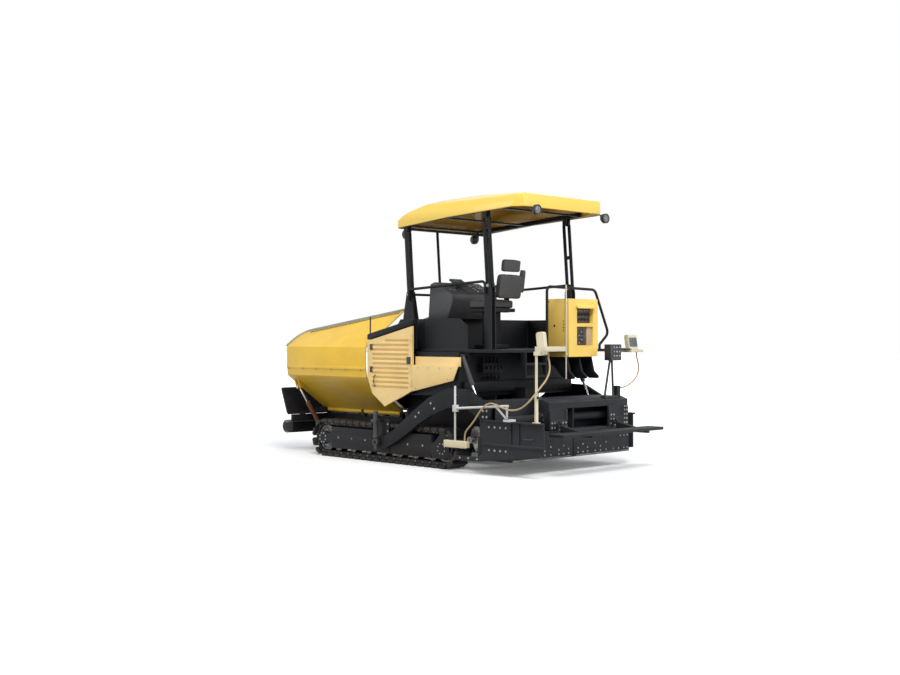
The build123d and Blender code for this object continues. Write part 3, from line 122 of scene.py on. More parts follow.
class Finish(Shading):
    """A surface finish: a shader with the nodes that feed it."""

    def __init__(self, name, **plain):
        self.material = bpy.data.materials.new(name)
        self.material.use_nodes = True
        super().__init__(self.material.node_tree)
        self.shader = self.tree.nodes["Principled BSDF"]
        self.place = self.node("ShaderNodeTexCoord", output="Object")
        self.dress(**plain)

    def dress(self, **sockets):
        """Sets or links the shader's sockets, named with underscores for spaces."""
        for key, value in sockets.items():
            self.feed(self.shader.inputs[key.replace("_", " ")], value)

    def feeding(self, name):
        """The wire that feeds one of the shader's sockets."""
        return Wire(self, self.shader.inputs[name].links[0].from_socket)

    def noise(self, scale, detail=4, roughness=0.5, stretch=(1, 1, 1)):
        where = self.node("ShaderNodeMapping", {"Vector": self.place, "Scale": stretch})
        return self.node("ShaderNodeTexNoise", {"Vector": where, "Scale": scale, "Detail": detail,
                                                "Roughness": roughness})

    def ramp(self, value, *stops):
        return self.node("ShaderNodeValToRGB", {0: value}, stops=stops)

    def relief(self, height, depth, strength):
        return self.node("ShaderNodeBump", {"Height": height, "Distance": depth, "Strength": strength})

    def facing(self, axis):
        """How far the surface faces along an axis of the machine."""
        normal = self.node("ShaderNodeNewGeometry", output="Normal")
        return self.node("ShaderNodeSeparateXYZ", {0: normal}, output=axis)

    def along(self, axis):
        """The place along an axis of the machine, in metres."""
        return self.node("ShaderNodeSeparateXYZ", {0: self.place}, output=axis)


def seen(shading):
    """1 where a surface is looked at, in a mirror too, and 0 where it only lights other things."""
    rays = ("Is Camera Ray", "Is Glossy Ray", "Is Transmission Ray")
    camera_ray, glossy_ray, clear_ray = [shading.node("ShaderNodeLightPath", output=ray) for ray in rays]
    return camera_ray.most(glossy_ray).most(clear_ray)


bpy.ops.mesh.primitive_plane_add(size=200)
ground = bpy.context.object
ground.name = "ground"
yard = Finish("pale_yard", Roughness=0.95)
sand = yard.mix(yard.noise(0.6), (0.93, 0.93, 0.92), (0.96, 0.96, 0.955))
# the yard brightens with distance until it meets the sky
distance = yard.node("ShaderNodeVectorMath", {0: yard.place}, output="Value", operation="LENGTH")
glow = yard.ramp(distance * 0.02, (0.08, 0.10), (0.22, 0.42), (0.55, 1.0))
yard.dress(Base_Color=yard.mix(seen(yard), (0.32, 0.30, 0.27), sand),
           Emission_Color=yard.mix(seen(yard), (0, 0, 0), glow), Emission_Strength=1.0)
ground.data.materials.append(yard.material)

world = bpy.data.worlds.new("sky")
world.use_nodes = True
bpy.context.scene.world = world
sky = Shading(world.node_tree)
background = sky.tree.nodes["Background"]
sky.feed(background.inputs["Color"], sky.mix(seen(sky), (0.66, 0.68, 0.72), (1, 1, 1)))

# -------- cables of the levelling sensors
# Tan rubber-sheathed control cables, 22 mm thick. The left one hangs from the remote console
# along the sensor's arm to the sensor; the right one loops down to its socket on the screed.
CABLE = 0.022
tan_rubber = Finish("cable_tan", Roughness=0.55)
tan_rubber.dress(
    Base_Color=tan_rubber.mix(tan_rubber.noise(14), (0.36, 0.25, 0.12), (0.52, 0.40, 0.23)),
    Normal=tan_rubber.relief(tan_rubber.noise(600, 2), 0.0006, 0.4))


def tube_curve(name, points, radius, order=3):
    """A round tube on a smooth curve drawn towards its points."""
    curve = bpy.data.curves.new(name, "CURVE")
    curve.dimensions = "3D"
    run = curve.splines.new("NURBS")
    run.points.add(len(points) - 1)
    for point, place in zip(run.points, points):
        point.co = (*place, 1)
    run.order_u = order
    run.use_endpoint_u = True
    run.resolution_u = 8
    curve.bevel_depth = radius
    curve.bevel_resolution = 3
    curve.use_fill_caps = True
    piece = bpy.data.objects.new(name, curve)
    bpy.context.collection.objects.link(piece)
    return piece


def lay_cable(name, points, body):
    piece = tube_curve(name + "_sheath", points, CABLE / 2)
    piece.data.materials.append(tan_rubber.material)
    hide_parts(name)
    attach(piece, body)


lay_cable("cable_left", [
    (-2.900, 1.135, 1.625), (-2.900, 1.135, 1.545), (-2.915, 1.120, 1.455), (-2.935, 1.150, 1.360),
    (-2.947, 1.225, 1.270), (-2.947, 1.320, 1.190), (-2.930, 1.405, 1.105), (-2.880, 1.448, 1.020),
    (-2.795, 1.454, 0.950), (-2.690, 1.450, 0.900), (-2.560, 1.447, 0.880), (-2.425, 1.445, 0.900),
    (-2.295, 1.445, 0.948), (-2.165, 1.446, 0.962), (-2.060, 1.447, 0.905), (-1.975, 1.446, 0.810),
    (-1.895, 1.445, 0.715), (-1.812, 1.438, 0.640), (-1.730, 1.424, 0.580), (-1.685, 1.405, 0.515),
    (-1.685, 1.405, 0.440)], "extension_left")
lay_cable("cable_right", [
    (-2.350, -1.400, 1.590), (-2.350, -1.400, 1.520), (-2.350, -1.440, 1.440), (-2.342, -1.465, 1.350),
    (-2.330, -1.450, 1.260), (-2.315, -1.375, 1.180), (-2.302, -1.275, 1.120), (-2.290, -1.165, 1.090),
    (-2.290, -1.060, 1.090)], "screed")

# -------- tracks
# Cast steel shoes on a chain, dark with rolled-in dirt and worn bright where they run.
# Each link's pin shows its riveted end on the outside of the chain.
TRACK_RADIUS = 0.28     # over the shoes, so also the height of the wheels' centres
PIN_LOOP = 0.215        # radius at which the chain's pins go round a wheel
SPROCKET_X = -1.0
IDLER_X = 1.62
CHAIN_SIDE_Y = 1.105    # outer side of the chain
PINS = 44
SIDES = (("left", 1), ("right", -1))


def turn_to(mode):
    bpy.ops.object.mode_set(mode=mode)


def clear_selection():
    bpy.ops.object.select_all(action="DESELECT")


def take(piece):
    """Makes a piece the only one selected, and the active one."""
    clear_selection()
    bpy.context.view_layer.objects.active = piece
    piece.select_set(True)


def settle(piece, name, body, finish, replaces=()):
    """A finished piece: its place goes into its mesh, then it gets its finish and its body."""
    take(piece)
    bpy.ops.object.transform_apply(location=True, rotation=True, scale=True)
    piece.name = name
    piece.data.materials.clear()
    piece.data.materials.append(finish.material)
    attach(piece, body)
    if replaces:
        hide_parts(*replaces)
    return piece


def smooth(piece, angle=35):
    """Shades a piece smooth, but for creases sharper than an angle in degrees."""
    take(piece)
    bpy.ops.object.shade_smooth_by_angle(angle=math.radians(angle))


def break_edges(piece, width, segments):
    """Rounds off all edges that turn by more than 32 degrees."""
    take(piece)
    bevel = piece.modifiers.new("Bevel", "BEVEL")
    bevel.width = width
    bevel.segments = segments
    bevel.limit_method = "ANGLE"
    bevel.angle_limit = math.radians(32)
    bpy.ops.object.modifier_apply(modifier=bevel.name)
    smooth(piece)


def merged_copy(node):
    """The CAD piece's shape as one closed mesh that can be worked on."""
    source = frame["nodes"][node]
    clear_selection()
    piece = source.copy()
    piece.data = source.data.copy()
    piece.parent = None
    piece.matrix_world = source.matrix_world.copy()
    bpy.context.collection.objects.link(piece)
    take(piece)
    turn_to("EDIT")
    bpy.ops.mesh.select_all(action="SELECT")
    bpy.ops.mesh.remove_doubles(threshold=0.00002)
    bpy.ops.mesh.dissolve_limited(angle_limit=math.radians(1.5))
    turn_to("OBJECT")
    return piece


def body_of(node):
    """The moving body that carries a CAD piece."""
    return next(name for name, nodes in frame["record"]["behaviour"]["bodies"].items() if node in nodes)


def finish_node(node, finish, width, segments=2):
    """The CAD piece again, with its edges broken and its own finish."""
    piece = merged_copy(node)
    break_edges(piece, width, segments)
    return settle(piece, node + "_finished", body_of(node), finish, (node,))


def inset_face(piece, towards, rim, depth):
    """Sinks or raises the inside of the faces that look one way."""
    take(piece)
    turn_to("EDIT")
    bpy.ops.mesh.select_mode(type="FACE")
    bpy.ops.mesh.select_all(action="DESELECT")
    turn_to("OBJECT")
    for face in piece.data.polygons:
        face.select = face.normal.dot(Vector(towards)) > 0.9
    turn_to("EDIT")
    bpy.ops.mesh.inset(thickness=rim, depth=0)
    bpy.ops.transform.translate(value=Vector(towards) * depth)
    turn_to("OBJECT")


def join(pieces):
    clear_selection()
    for piece in pieces:
        piece.select_set(True)
    bpy.context.view_layer.objects.active = pieces[0]
    bpy.ops.object.join()
    return bpy.context.object


def stamp(name, model, places, body, finish):
    """Copies of one small model, each with its top along its own direction, as one piece."""
    copies = []
    for where, up in places:
        copy = model.copy()
        copy.data = model.data.copy()
        bpy.context.collection.objects.link(copy)
        turn = Vector(up).to_track_quat("Z", "Y").to_matrix().to_4x4()
        copy.matrix_world = Matrix.Translation(where) @ turn
        copies.append(copy)
    bpy.data.objects.remove(model)
    return settle(join(copies), name, body, finish)


def turned(radius, rings, sides=24):
    """A lathe-turned form on z: a disc pushed up ring by ring to (radius, height) pairs."""
    clear_selection()
    bpy.ops.mesh.primitive_circle_add(vertices=sides, radius=radius, fill_type="NGON")
    piece = bpy.context.object
    turn_to("EDIT")
    bpy.ops.mesh.select_all(action="SELECT")
    previous, level = radius, 0
    for ring, height in rings:
        bpy.ops.mesh.extrude_region_move(TRANSFORM_OT_translate={"value": (0, 0, height - level)})
        bpy.ops.transform.resize(value=(ring / previous, ring / previous, 1))
        previous, level = ring, height
    bpy.ops.mesh.select_all(action="SELECT")
    bpy.ops.mesh.normals_make_consistent(inside=False)
    turn_to("OBJECT")
    return piece


def on_side(y, sign, spots):
    """Places at (x, z) spots on a face that looks out from the machine's side."""
    return [((x, sign * y, z), (0, sign, 0)) for x, z in spots]


def hex_bolt(size):
    """A hexagon head on its washer, standing on z = 0."""
    washer = turned(size * 1.25, [(size * 1.25, size * 0.18), (size, size * 0.2)], 12)
    head = turned(size, [(size, size * 0.62), (size * 0.82, size * 0.74)], 6)
    head.location.z = size * 0.19
    return join([washer, head])


def metal(name, dark, light, scale, rough, shine=0.85):
    """Bare steel: scuffed streaks, polish and dull patches."""
    steel = Finish(name, Metallic=shine)
    scuff = steel.noise(scale, 5, 0.6, (1, 0.2, 1))
    steel.dress(
        Base_Color=steel.mix(steel.ramp(scuff, (0.36, 0.0), (0.66, 1.0)), dark, light),
        Roughness=steel.ramp(scuff, (0.3, rough), (0.7, min(rough + 0.3, 0.9))),
        Normal=steel.relief(steel.noise(140, 4), 0.001, 0.5))
    return steel


track_steel = Finish("track_steel", Metallic=0.5)
dirt = track_steel.noise(9, 6, 0.65)
caked = track_steel.ramp(dirt, (0.42, 0.0), (0.68, 1.0))
track_steel.dress(
    Base_Color=track_steel.mix(caked, (0.014, 0.0135, 0.013), (0.060, 0.053, 0.044)),
    Roughness=track_steel.ramp(dirt, (0.3, 0.5), (0.7, 0.8)),
    Normal=track_steel.relief(track_steel.noise(90, 5), 0.003, 0.6))
running_steel = metal("running_steel", (0.05, 0.047, 0.043), (0.26, 0.25, 0.24), 18, 0.35)
bolt_steel = metal("bolt_steel", (0.20, 0.20, 0.20), (0.50, 0.50, 0.49), 60, 0.3)


def round_loop(share):
    """A point (x, z) at a share of the way round the loop of the chain's pins."""
    run, turn = IDLER_X - SPROCKET_X, math.pi * PIN_LOOP
    s = share * (2 * run + 2 * turn)
    if s < run:
        return SPROCKET_X + s, TRACK_RADIUS - PIN_LOOP
    if s < run + turn:
        angle = (s - run) / PIN_LOOP - math.pi / 2
        return IDLER_X + PIN_LOOP * math.cos(angle), TRACK_RADIUS + PIN_LOOP * math.sin(angle)
    if s < 2 * run + turn:
        return IDLER_X - (s - run - turn), TRACK_RADIUS + PIN_LOOP
    angle = (s - 2 * run - turn) / PIN_LOOP + math.pi / 2
    return SPROCKET_X + PIN_LOOP * math.cos(angle), TRACK_RADIUS + PIN_LOOP * math.sin(angle)


pin_spots = [round_loop(n / PINS) for n in range(PINS)]
for side, sign in SIDES:
    finish_node("track_" + side, track_steel, 0.005)
    pins = on_side(CHAIN_SIDE_Y, sign, pin_spots)
    pin_end = turned(0.017, [(0.017, 0.006), (0.011, 0.012), (0.006, 0.009)], 10)
    stamp("track_pins_" + side, pin_end, pins, "chassis", running_steel)
finish_node("running_gear", running_steel, 0.006)

# -------- chassis, tow points and black structure
# Welded plate, shot-blasted and sprayed satin black. Site dust settles on what faces up, which is also
# made lighter there as painted light on the tops, and the paint is rubbed grey on its edges. Bosses and
# brackets are bolted on.
SHIELD_Y = 1.17         # where the bolts of the track frame's guards stand
ARM_FACE_Y = 1.24       # outer face of a tow arm
TOW_PLATE_Y = 1.182     # outer face of a tow point's plate
BOSS_RING = 0.072       # radius of the bolt circle round a wheel's boss
ARM_SPOTS = ((-0.55, 0.70), (-0.62, 0.76), (-0.86, 0.90), (-0.93, 0.83), (-1.35, 1.03),
             (-1.35, 0.95), (-1.86, 0.84), (-1.93, 0.84), (-1.86, 0.76), (-1.93, 0.76))


def bolts(name, size, places, body):
    """Hexagon bolts of one size as one piece."""
    stamp(name, hex_bolt(size), places, body, bolt_steel)


def painted(name, colour, worn, dust, amount, rough, low=1.2, inner=None, specular=0.5):
    """Sprayed enamel: mottling, dust below a height and on what faces up, where it is also painted light on
    the tops, rubbed edges, orange peel.

    Inner is the axis, sign and shade of the side that is scoured bare."""
    coat = Finish(name, Specular_IOR_Level=specular)
    mottle = coat.noise(2.2, 5, 0.55)
    speck = coat.noise(38, 4, 0.7)
    faded = tuple(0.88 * part for part in colour)
    tone = coat.mix(coat.ramp(mottle, (0.35, 0.0), (0.68, 1.0)), colour, faded)
    if inner:
        axis, sign, shade = inner
        tone = coat.mix(coat.ramp(coat.facing(axis) * sign, (0.18, 0.0), (0.34, 1.0)), tone, shade)
    # what faces up gets the dust colour both for real dust and as painted light on the tops
    upward = coat.ramp(coat.facing("Z"), (0.2, 0.0), (0.95, 1.0))
    splash = coat.ramp(coat.along("Z") * (1 / low), (0.1, 1.0), (1.0, 0.0))
    patches = coat.ramp(speck * 0.5 + mottle * 0.5, (0.36, 0.15), (0.62, 1.0))
    cover = (upward * 0.55 + splash * 0.5) * patches * amount
    # the tone with dust, and with painted light on what faces up
    dust_and_top_light = coat.mix(cover, tone, dust)
    rounded = coat.node("ShaderNodeBevel", {"Radius": 0.010}, samples=4)
    plain = coat.node("ShaderNodeNewGeometry", output="Normal")
    match = coat.node("ShaderNodeVectorMath", {0: rounded, 1: plain}, output="Value",
                      operation="DOT_PRODUCT")
    rubbed = coat.ramp((1 - match) * 3 + speck * 0.42, (0.46, 0.0), (0.64, 1.0))
    coat.dress(
        Base_Color=coat.mix(rubbed, dust_and_top_light, worn),
        Roughness=coat.ramp(speck * 0.4 + cover, (0.1, rough), (0.6, min(rough + 0.35, 0.9))),
        Normal=coat.relief(coat.noise(420, 2), 0.0004, 0.25))
    return coat


def circle(count, radius, first=0):
    """Evenly spaced points round a circle, the first at an angle in degrees."""
    turns = [math.radians(first + 360 * n / count) for n in range(count)]
    return [(radius * math.cos(turn), radius * math.sin(turn)) for turn in turns]


# the dust colour on what faces up is real dust and also painted light on the tops
BLACK = {"colour": (0.0070, 0.0078, 0.0098), "worn": (0.045, 0.044, 0.042), "dust": (0.11, 0.10, 0.09),
         "amount": 0.18, "rough": 0.42, "specular": 0.16}
black_paint = painted("chassis_black", **BLACK)
for node in ("track_frames", "main_frame", "wing_supports", "body_housing", "push_beam", "hood_rails",
             "platform", "canopy_front_posts", "canopy_rear_posts", "canopy_frame", "tow_points",
             "tow_arms", "rear_crossbar", "seat_frame", "engine_hood", "front_apron"):
    finish_node(node, black_paint, 0.004)
finish_node("hydraulics", black_paint, 0.0015)

rail_paint = painted("rail_black", **BLACK)
# the slim pole behind the rail, from 2.01 m back, is galvanised and not painted
pole = rail_paint.ramp(rail_paint.along("X") * -0.3, (0.6030, 0.0), (0.6045, 1.0))
rail_paint.dress(Base_Color=rail_paint.mix(pole, rail_paint.feeding("Base Color"), (0.62, 0.58, 0.46)))
finish_node("handrails", rail_paint, 0.0015)

dark_steel = painted("cylinder_paint", (0.022, 0.022, 0.025), (0.10, 0.095, 0.09), (0.15, 0.14, 0.12),
                     0.3, 0.4)
finish_node("tow_cylinders", dark_steel, 0.003)

shield_spots = [(x + across, TRACK_RADIUS + up) for x in (SPROCKET_X, IDLER_X)
                for across, up in circle(8, BOSS_RING, 22.5)]
shield_spots += [(-0.62 + 0.31 * n, 0.30) for n in range(7)]
tow_spots = [(x, z) for x in (0.10, 0.40) for z in (0.46, 0.56)]
for side, sign in SIDES:
    bolts("boss_bolts_" + side, 0.011, on_side(SHIELD_Y, sign, shield_spots), "chassis")
    bolts("arm_bolts_" + side, 0.013, on_side(ARM_FACE_Y, sign, ARM_SPOTS), "screed")
    bolts("tow_plate_bolts_" + side, 0.012, on_side(TOW_PLATE_Y, sign, tow_spots), "chassis")

# -------- hopper wings with their rubber lips
# Folded from 20 mm wear plate, painted yellow outside and scoured by the mix inside.
# A ribbed rubber lip is clamped under a bolted flat bar along the leaning top edge.
SKIN_Y = 1.25           # outer skin of the hopper and of the side doors
LEAN_FROM_Z = 1.66      # above this the wing's top strip leans inwards
LEAN_SLOPE = 0.72       # its rise for each metre inwards
for side, sign in SIDES:
    wing_paint = painted("wing_yellow_" + side, (0.84, 0.52, 0.030), (0.60, 0.37, 0.05), (0.66, 0.50, 0.20),
                         0.20, 0.33, inner=("Y", -sign, (0.20, 0.17, 0.13)))
    finish_node("hopper_wing_" + side, wing_paint, 0.003)

rubber = Finish("rubber_black", Roughness=0.7)
ribs = rubber.node("ShaderNodeMath", {0: rubber.along("X") * 62}, operation="SINE")
rubber.dress(Base_Color=rubber.mix(rubber.noise(6, 5, 0.6), (0.155, 0.165, 0.105), (0.34, 0.34, 0.22)),
             Normal=rubber.relief(rubber.noise(260, 3) + ribs * 0.15, 0.0015, 0.5))


def strip_place(x, z, sign):
    """A point on the leaning strip of a wing."""
    return Vector((x, sign * (SKIN_Y - (z - LEAN_FROM_Z) / LEAN_SLOPE - 0.013), z))


def bar_between(start, end, width, thick, normal):
    """A flat bar between two points, its broad face along a normal, with its edges broken."""
    along = (end - start).normalized()
    normal = (normal - along * normal.dot(along)).normalized()
    across = normal.cross(along)
    clear_selection()
    bpy.ops.mesh.primitive_cube_add(size=1)
    flat = bpy.context.object
    turn = Matrix((along, across, normal)).transposed().to_4x4()
    size = Matrix.Diagonal(((end - start).length, width, thick, 1))
    flat.matrix_world = Matrix.Translation((start + end) / 2) @ turn @ size
    bpy.ops.object.transform_apply(location=True, rotation=True, scale=True)
    break_edges(flat, thick * 0.25, 1)
    return flat


# the clamps and bolts of both wings take the right wing's paint, scoured on what faces left
clamp_paint = wing_paint
for side, sign in SIDES:
    finish_node("wing_lip_" + side, rubber, 0.006, 3)
    body = "wing_" + side
    rear, front = strip_place(0.56, 2.183, sign), strip_place(2.22, 1.896, sign)
    outward = Vector((0, sign * 0.58, 0.81))
    down_slope = Vector((0, sign * 0.81, -0.58)) * 0.03
    lift = outward * 0.016
    clamp = bar_between(rear + lift + down_slope, front + lift + down_slope, 0.034, 0.008, outward)
    settle(clamp, "lip_clamp_" + side, body, clamp_paint)
    first_bolt = rear + lift * 1.25 + down_slope
    lip_bolts = [(first_bolt + (front - rear) * (n + 0.5) / 12, outward) for n in range(12)]
    bolts("lip_bolts_" + side, 0.009, lip_bolts, body)
    wing_bolts = on_side(SKIN_Y + 0.008, sign, [(0.62 + 0.35 * n, 1.33) for n in range(6)])
    domed = turned(0.014, [(0.014, 0.003), (0.010, 0.008), (0.004, 0.010)], 14)
    stamp("wing_bolts_" + side, domed, wing_bolts, body, clamp_paint)

# -------- cylinders and push rollers
# Red-oxide primed barrels lift the wings and dark ones the screed, all with chromed rods.
# The push rollers are bare steel tubes that a truck's wheels roll on.
primer = painted("primer_red", (0.18, 0.055, 0.022), (0.30, 0.14, 0.08), (0.16, 0.12, 0.09), 0.3, 0.5)
rod_chrome = Finish("rod_chrome", Metallic=1.0, Roughness=0.16)
rod_chrome.dress(Base_Color=rod_chrome.mix(rod_chrome.noise(30), (0.60, 0.60, 0.62), (0.72, 0.72, 0.74)))
for side in ("left", "right"):
    finish_node("wing_barrel_" + side, primer, 0.002)
    finish_node("lift_barrel_" + side, dark_steel, 0.002)
    finish_node("wing_rod_" + side, rod_chrome, 0.001)
    finish_node("lift_rod_" + side, rod_chrome, 0.001)
for side in ("left", "right"):
    finish_node("push_roller_" + side, running_steel, 0.006)

# -------- engine, conveyor and augers
# The engine is a cast block behind the louvres. The conveyor's slats and the augers' flights
# are scoured bright by the mix.
engine_iron = metal("engine_iron", (0.03, 0.03, 0.032), (0.11, 0.11, 0.11), 12, 0.5, 0.5)
finish_node("engine_block", engine_iron, 0.02)
finish_node("conveyor", running_steel, 0.003)
flight_steel = metal("flight_steel", (0.07, 0.065, 0.06), (0.34, 0.33, 0.31), 26, 0.28)
for side in ("left", "right"):
    finish_node("auger_" + side, flight_steel, 0.002, 1)

# -------- side doors, strips and hood
# Pressed sheet doors with angled louvre blades, painted a paler yellow that is partly a painted highlight for
# the glare on them. Each has black latches and covers at its edges and a grab handle; the hood has two grab
# handles.
POST_Y = 1.20           # a short post beside the hood on each side
STRIP_SPOTS = ((-0.62, 1.385), (-0.84, 1.385), (-1.06, 1.385), (-1.28, 1.385),
               (-0.58, 1.10), (-0.90, 1.165), (-1.22, 1.235))
# paler than the machine's yellow, partly for the doors' and strips' own paint and partly as painted highlight
# for glare
glare_pale_yellow = painted("door_yellow", (0.84, 0.60, 0.24), (0.62, 0.44, 0.16), (0.70, 0.58, 0.34), 0.18, 0.35)
moulded = Finish("moulded_black", Roughness=0.5)
moulded.dress(Base_Color=moulded.mix(moulded.noise(60), (0.012, 0.012, 0.013), (0.026, 0.026, 0.028)),
              Normal=moulded.relief(moulded.noise(700, 2), 0.0003, 0.3))


def plate(low, high, towards, rim, depth, soften=0.003, segments=2):
    """A pressed piece between two corners, one face sunk or raised inside a rim."""
    low, high = Vector(low), Vector(high)
    clear_selection()
    bpy.ops.mesh.primitive_cube_add(size=1, location=(low + high) / 2, scale=high - low)
    piece = bpy.context.object
    bpy.ops.object.transform_apply(location=True, rotation=True, scale=True)
    inset_face(piece, towards, rim, depth)
    break_edges(piece, soften, segments)
    return piece


def as_mesh(curve, angle):
    """A curve's tube as a mesh, shaded smooth."""
    take(curve)
    bpy.ops.object.convert(target="MESH")
    smooth(bpy.context.object, angle)
    return bpy.context.object


def bar(points, radius, order=3):
    """Bent round bar or steel pipe, from its first point to its last."""
    return as_mesh(tube_curve("bar", points, radius, order), 50)


def grab_handle(start, end, rise, radius):
    """A bent round handle on two feet, its grip standing off by the rise."""
    start, end, rise = Vector(start), Vector(end), Vector(rise)
    return bar([start, start + rise, end + rise, end], radius)


def rivet(radius, lip, crown, height):
    """A low round head: a rim that narrows to its crown."""
    return turned(radius, [(radius, lip), (crown, height)], 12)


def band(low_y, high_y, sign):
    """A y range on one side of the machine, lowest first."""
    return (low_y, high_y) if sign > 0 else (-high_y, -low_y)


finish_node("side_strips", glare_pale_yellow, 0.003)
for side, sign in SIDES:
    finish_node("service_door_" + side, glare_pale_yellow, 0.0015, 1)
    out = (0, sign, 0)
    door = "door_" + side
    skin = sign * SKIN_Y
    y0, y1 = band(SKIN_Y, SKIN_Y + 0.009, sign)
    latches = [plate((0.36, y0, z), (0.415, y1, z + 0.085), out, 0.008, -0.004) for z in (1.30, 1.62)]
    y0, y1 = band(SKIN_Y, SKIN_Y + 0.014, sign)
    latches.append(plate((-0.455, y0, 1.43), (-0.385, y1, 1.53), out, 0.010, 0.004))
    settle(join(latches), "door_latches_" + side, door, moulded)
    handle = grab_handle((0.30, skin, 1.10), (0.30, skin, 1.26), (0, sign * 0.027, 0), 0.007)
    settle(handle, "door_handle_" + side, door, moulded)
    rivets = [(x, 0.975 + 0.13 * abs(x + 0.05)) for x in (-0.25, -0.12, 0.0)]
    rivets += [(0.455, 1.30 + 0.1 * n) for n in range(5)]
    stamp("door_rivets_" + side, rivet(0.008, 0.002, 0.005, 0.005), on_side(SKIN_Y, sign, rivets),
          door, glare_pale_yellow)
    stamp("strip_bolts_" + side, rivet(0.010, 0.003, 0.006, 0.007),
          on_side(SKIN_Y + 0.016, sign, STRIP_SPOTS), "chassis", bolt_steel)
    post = bar([(x, sign * POST_Y, z) for x, z in ((0.47, 1.80), (0.47, 2.02), (0.465, 2.10))], 0.011)
    settle(post, "hood_post_" + side, "chassis", moulded)

hood_handles = [grab_handle((0.34, y - 0.09, 1.842), (0.34, y + 0.09, 1.842), (0, 0, 0.05), 0.008)
                for y in (-0.62, 0.62)]
settle(join(hood_handles), "hood_handles", "hood", moulded)

# -------- canopy roof and its lamps
# Moulded glass-fibre roof: glossy yellow gel coat outside, a brownish laminate inside,
# stiffened by shallow swages along the top. Black work lamps hang on brackets at its corners.
LAMPS = {"rear": ((-2.273, 0.630, 3.490), (-2.273, -0.800, 3.470)),
         "front": ((0.248, 0.705, 3.310), (0.248, -0.705, 3.310))}
roof_grp = Finish("roof_grp", Coat_Weight=0.35, Coat_Roughness=0.12)
fibres = roof_grp.noise(160, 4, 0.7, (1, 0.3, 1))
downward = roof_grp.ramp(roof_grp.facing("Z") * -1, (0.25, 0.0), (0.55, 1.0))
gel = roof_grp.mix(roof_grp.noise(1.6), (0.86, 0.60, 0.085), (0.82, 0.56, 0.065))
laminate = roof_grp.mix(fibres, (0.40, 0.215, 0.018), (0.56, 0.32, 0.04))
roof_grp.dress(Base_Color=roof_grp.mix(downward, gel, laminate),
               Roughness=roof_grp.ramp(downward + fibres * 0.1, (0.0, 0.28), (0.8, 0.75)),
               Normal=roof_grp.relief(fibres, 0.0008, 0.3))
finish_node("canopy_roof", roof_grp, 0.018, 3)
finish_node("canopy_lamps", moulded, 0.004)

lens_glass = Finish("lamp_lens", Roughness=0.08, Coat_Weight=0.8)
lens_ribs = lens_glass.node("ShaderNodeTexWave", {"Vector": lens_glass.place, "Scale": 22,
                                                  "Distortion": 0.0}, bands_direction="Y")
lens_glass.dress(Base_Color=lens_glass.mix(lens_ribs, (0.035, 0.036, 0.040), (0.16, 0.16, 0.17)),
                 Normal=lens_glass.relief(lens_ribs, 0.002, 0.6))
for end, spots in LAMPS.items():
    aimed = (1, 0, 0) if end == "front" else (-1, 0, 0)
    places = [(spot, aimed) for spot in spots]
    lens = turned(0.056, [(0.056, 0.003), (0.044, 0.009), (0.022, 0.012), (0.004, 0.013)])
    stamp("lamp_lenses_" + end, lens, places, "canopy", lens_glass)
    rim = turned(0.066, [(0.069, 0.004), (0.069, 0.010), (0.060, 0.012), (0.057, 0.004)])
    stamp("lamp_rims_" + end, rim, places, "canopy", moulded)

# -------- post pivots
# A clevis bolt runs through the pivot plates at the foot of each canopy post,
# with a head and washer on both sides.
PIVOTS = ((0.0, 2.42), (-1.59, 2.50))
PIVOT_OUTER_Y = 0.876
PIVOT_INNER_Y = 0.784
foot_bolts = []
for sign in (1, -1):
    foot_bolts += on_side(PIVOT_OUTER_Y, sign, PIVOTS)
    foot_bolts += [((x, sign * PIVOT_INNER_Y, z), (0, -sign, 0)) for x, z in PIVOTS]
bolts("post_foot_bolts", 0.020, foot_bolts, "chassis")

# -------- operator's seat
# Foam pads in black grained vinyl, welted along their edges and sewn in channels:
# cushion, back, headrest and one armrest folded up beside the back.
SQUARENESS = 7          # power of the rounded square that a pad's outline follows
STITCH = 0.007          # half width of a sewn channel
vinyl = Finish("seat_vinyl", Roughness=0.55)
grain = vinyl.node("ShaderNodeTexVoronoi", {"Vector": vinyl.place, "Scale": 420})
vinyl.dress(Base_Color=vinyl.mix(vinyl.noise(8, 4, 0.6), (0.012, 0.0115, 0.012), (0.032, 0.030, 0.031)),
            Normal=vinyl.relief(grain, 0.0006, 0.45))


def hoop(points, radius):
    """A closed ring of round bar or piping."""
    ring = tube_curve("hoop", points, radius)
    ring.data.splines[0].use_cyclic_u = True
    return as_mesh(ring, 180)


def rounded_share(*parts):
    """How far a point lies out from the middle, measured on the rounded square."""
    return sum(abs(part) ** SQUARENESS for part in parts) ** (1 / SQUARENESS)


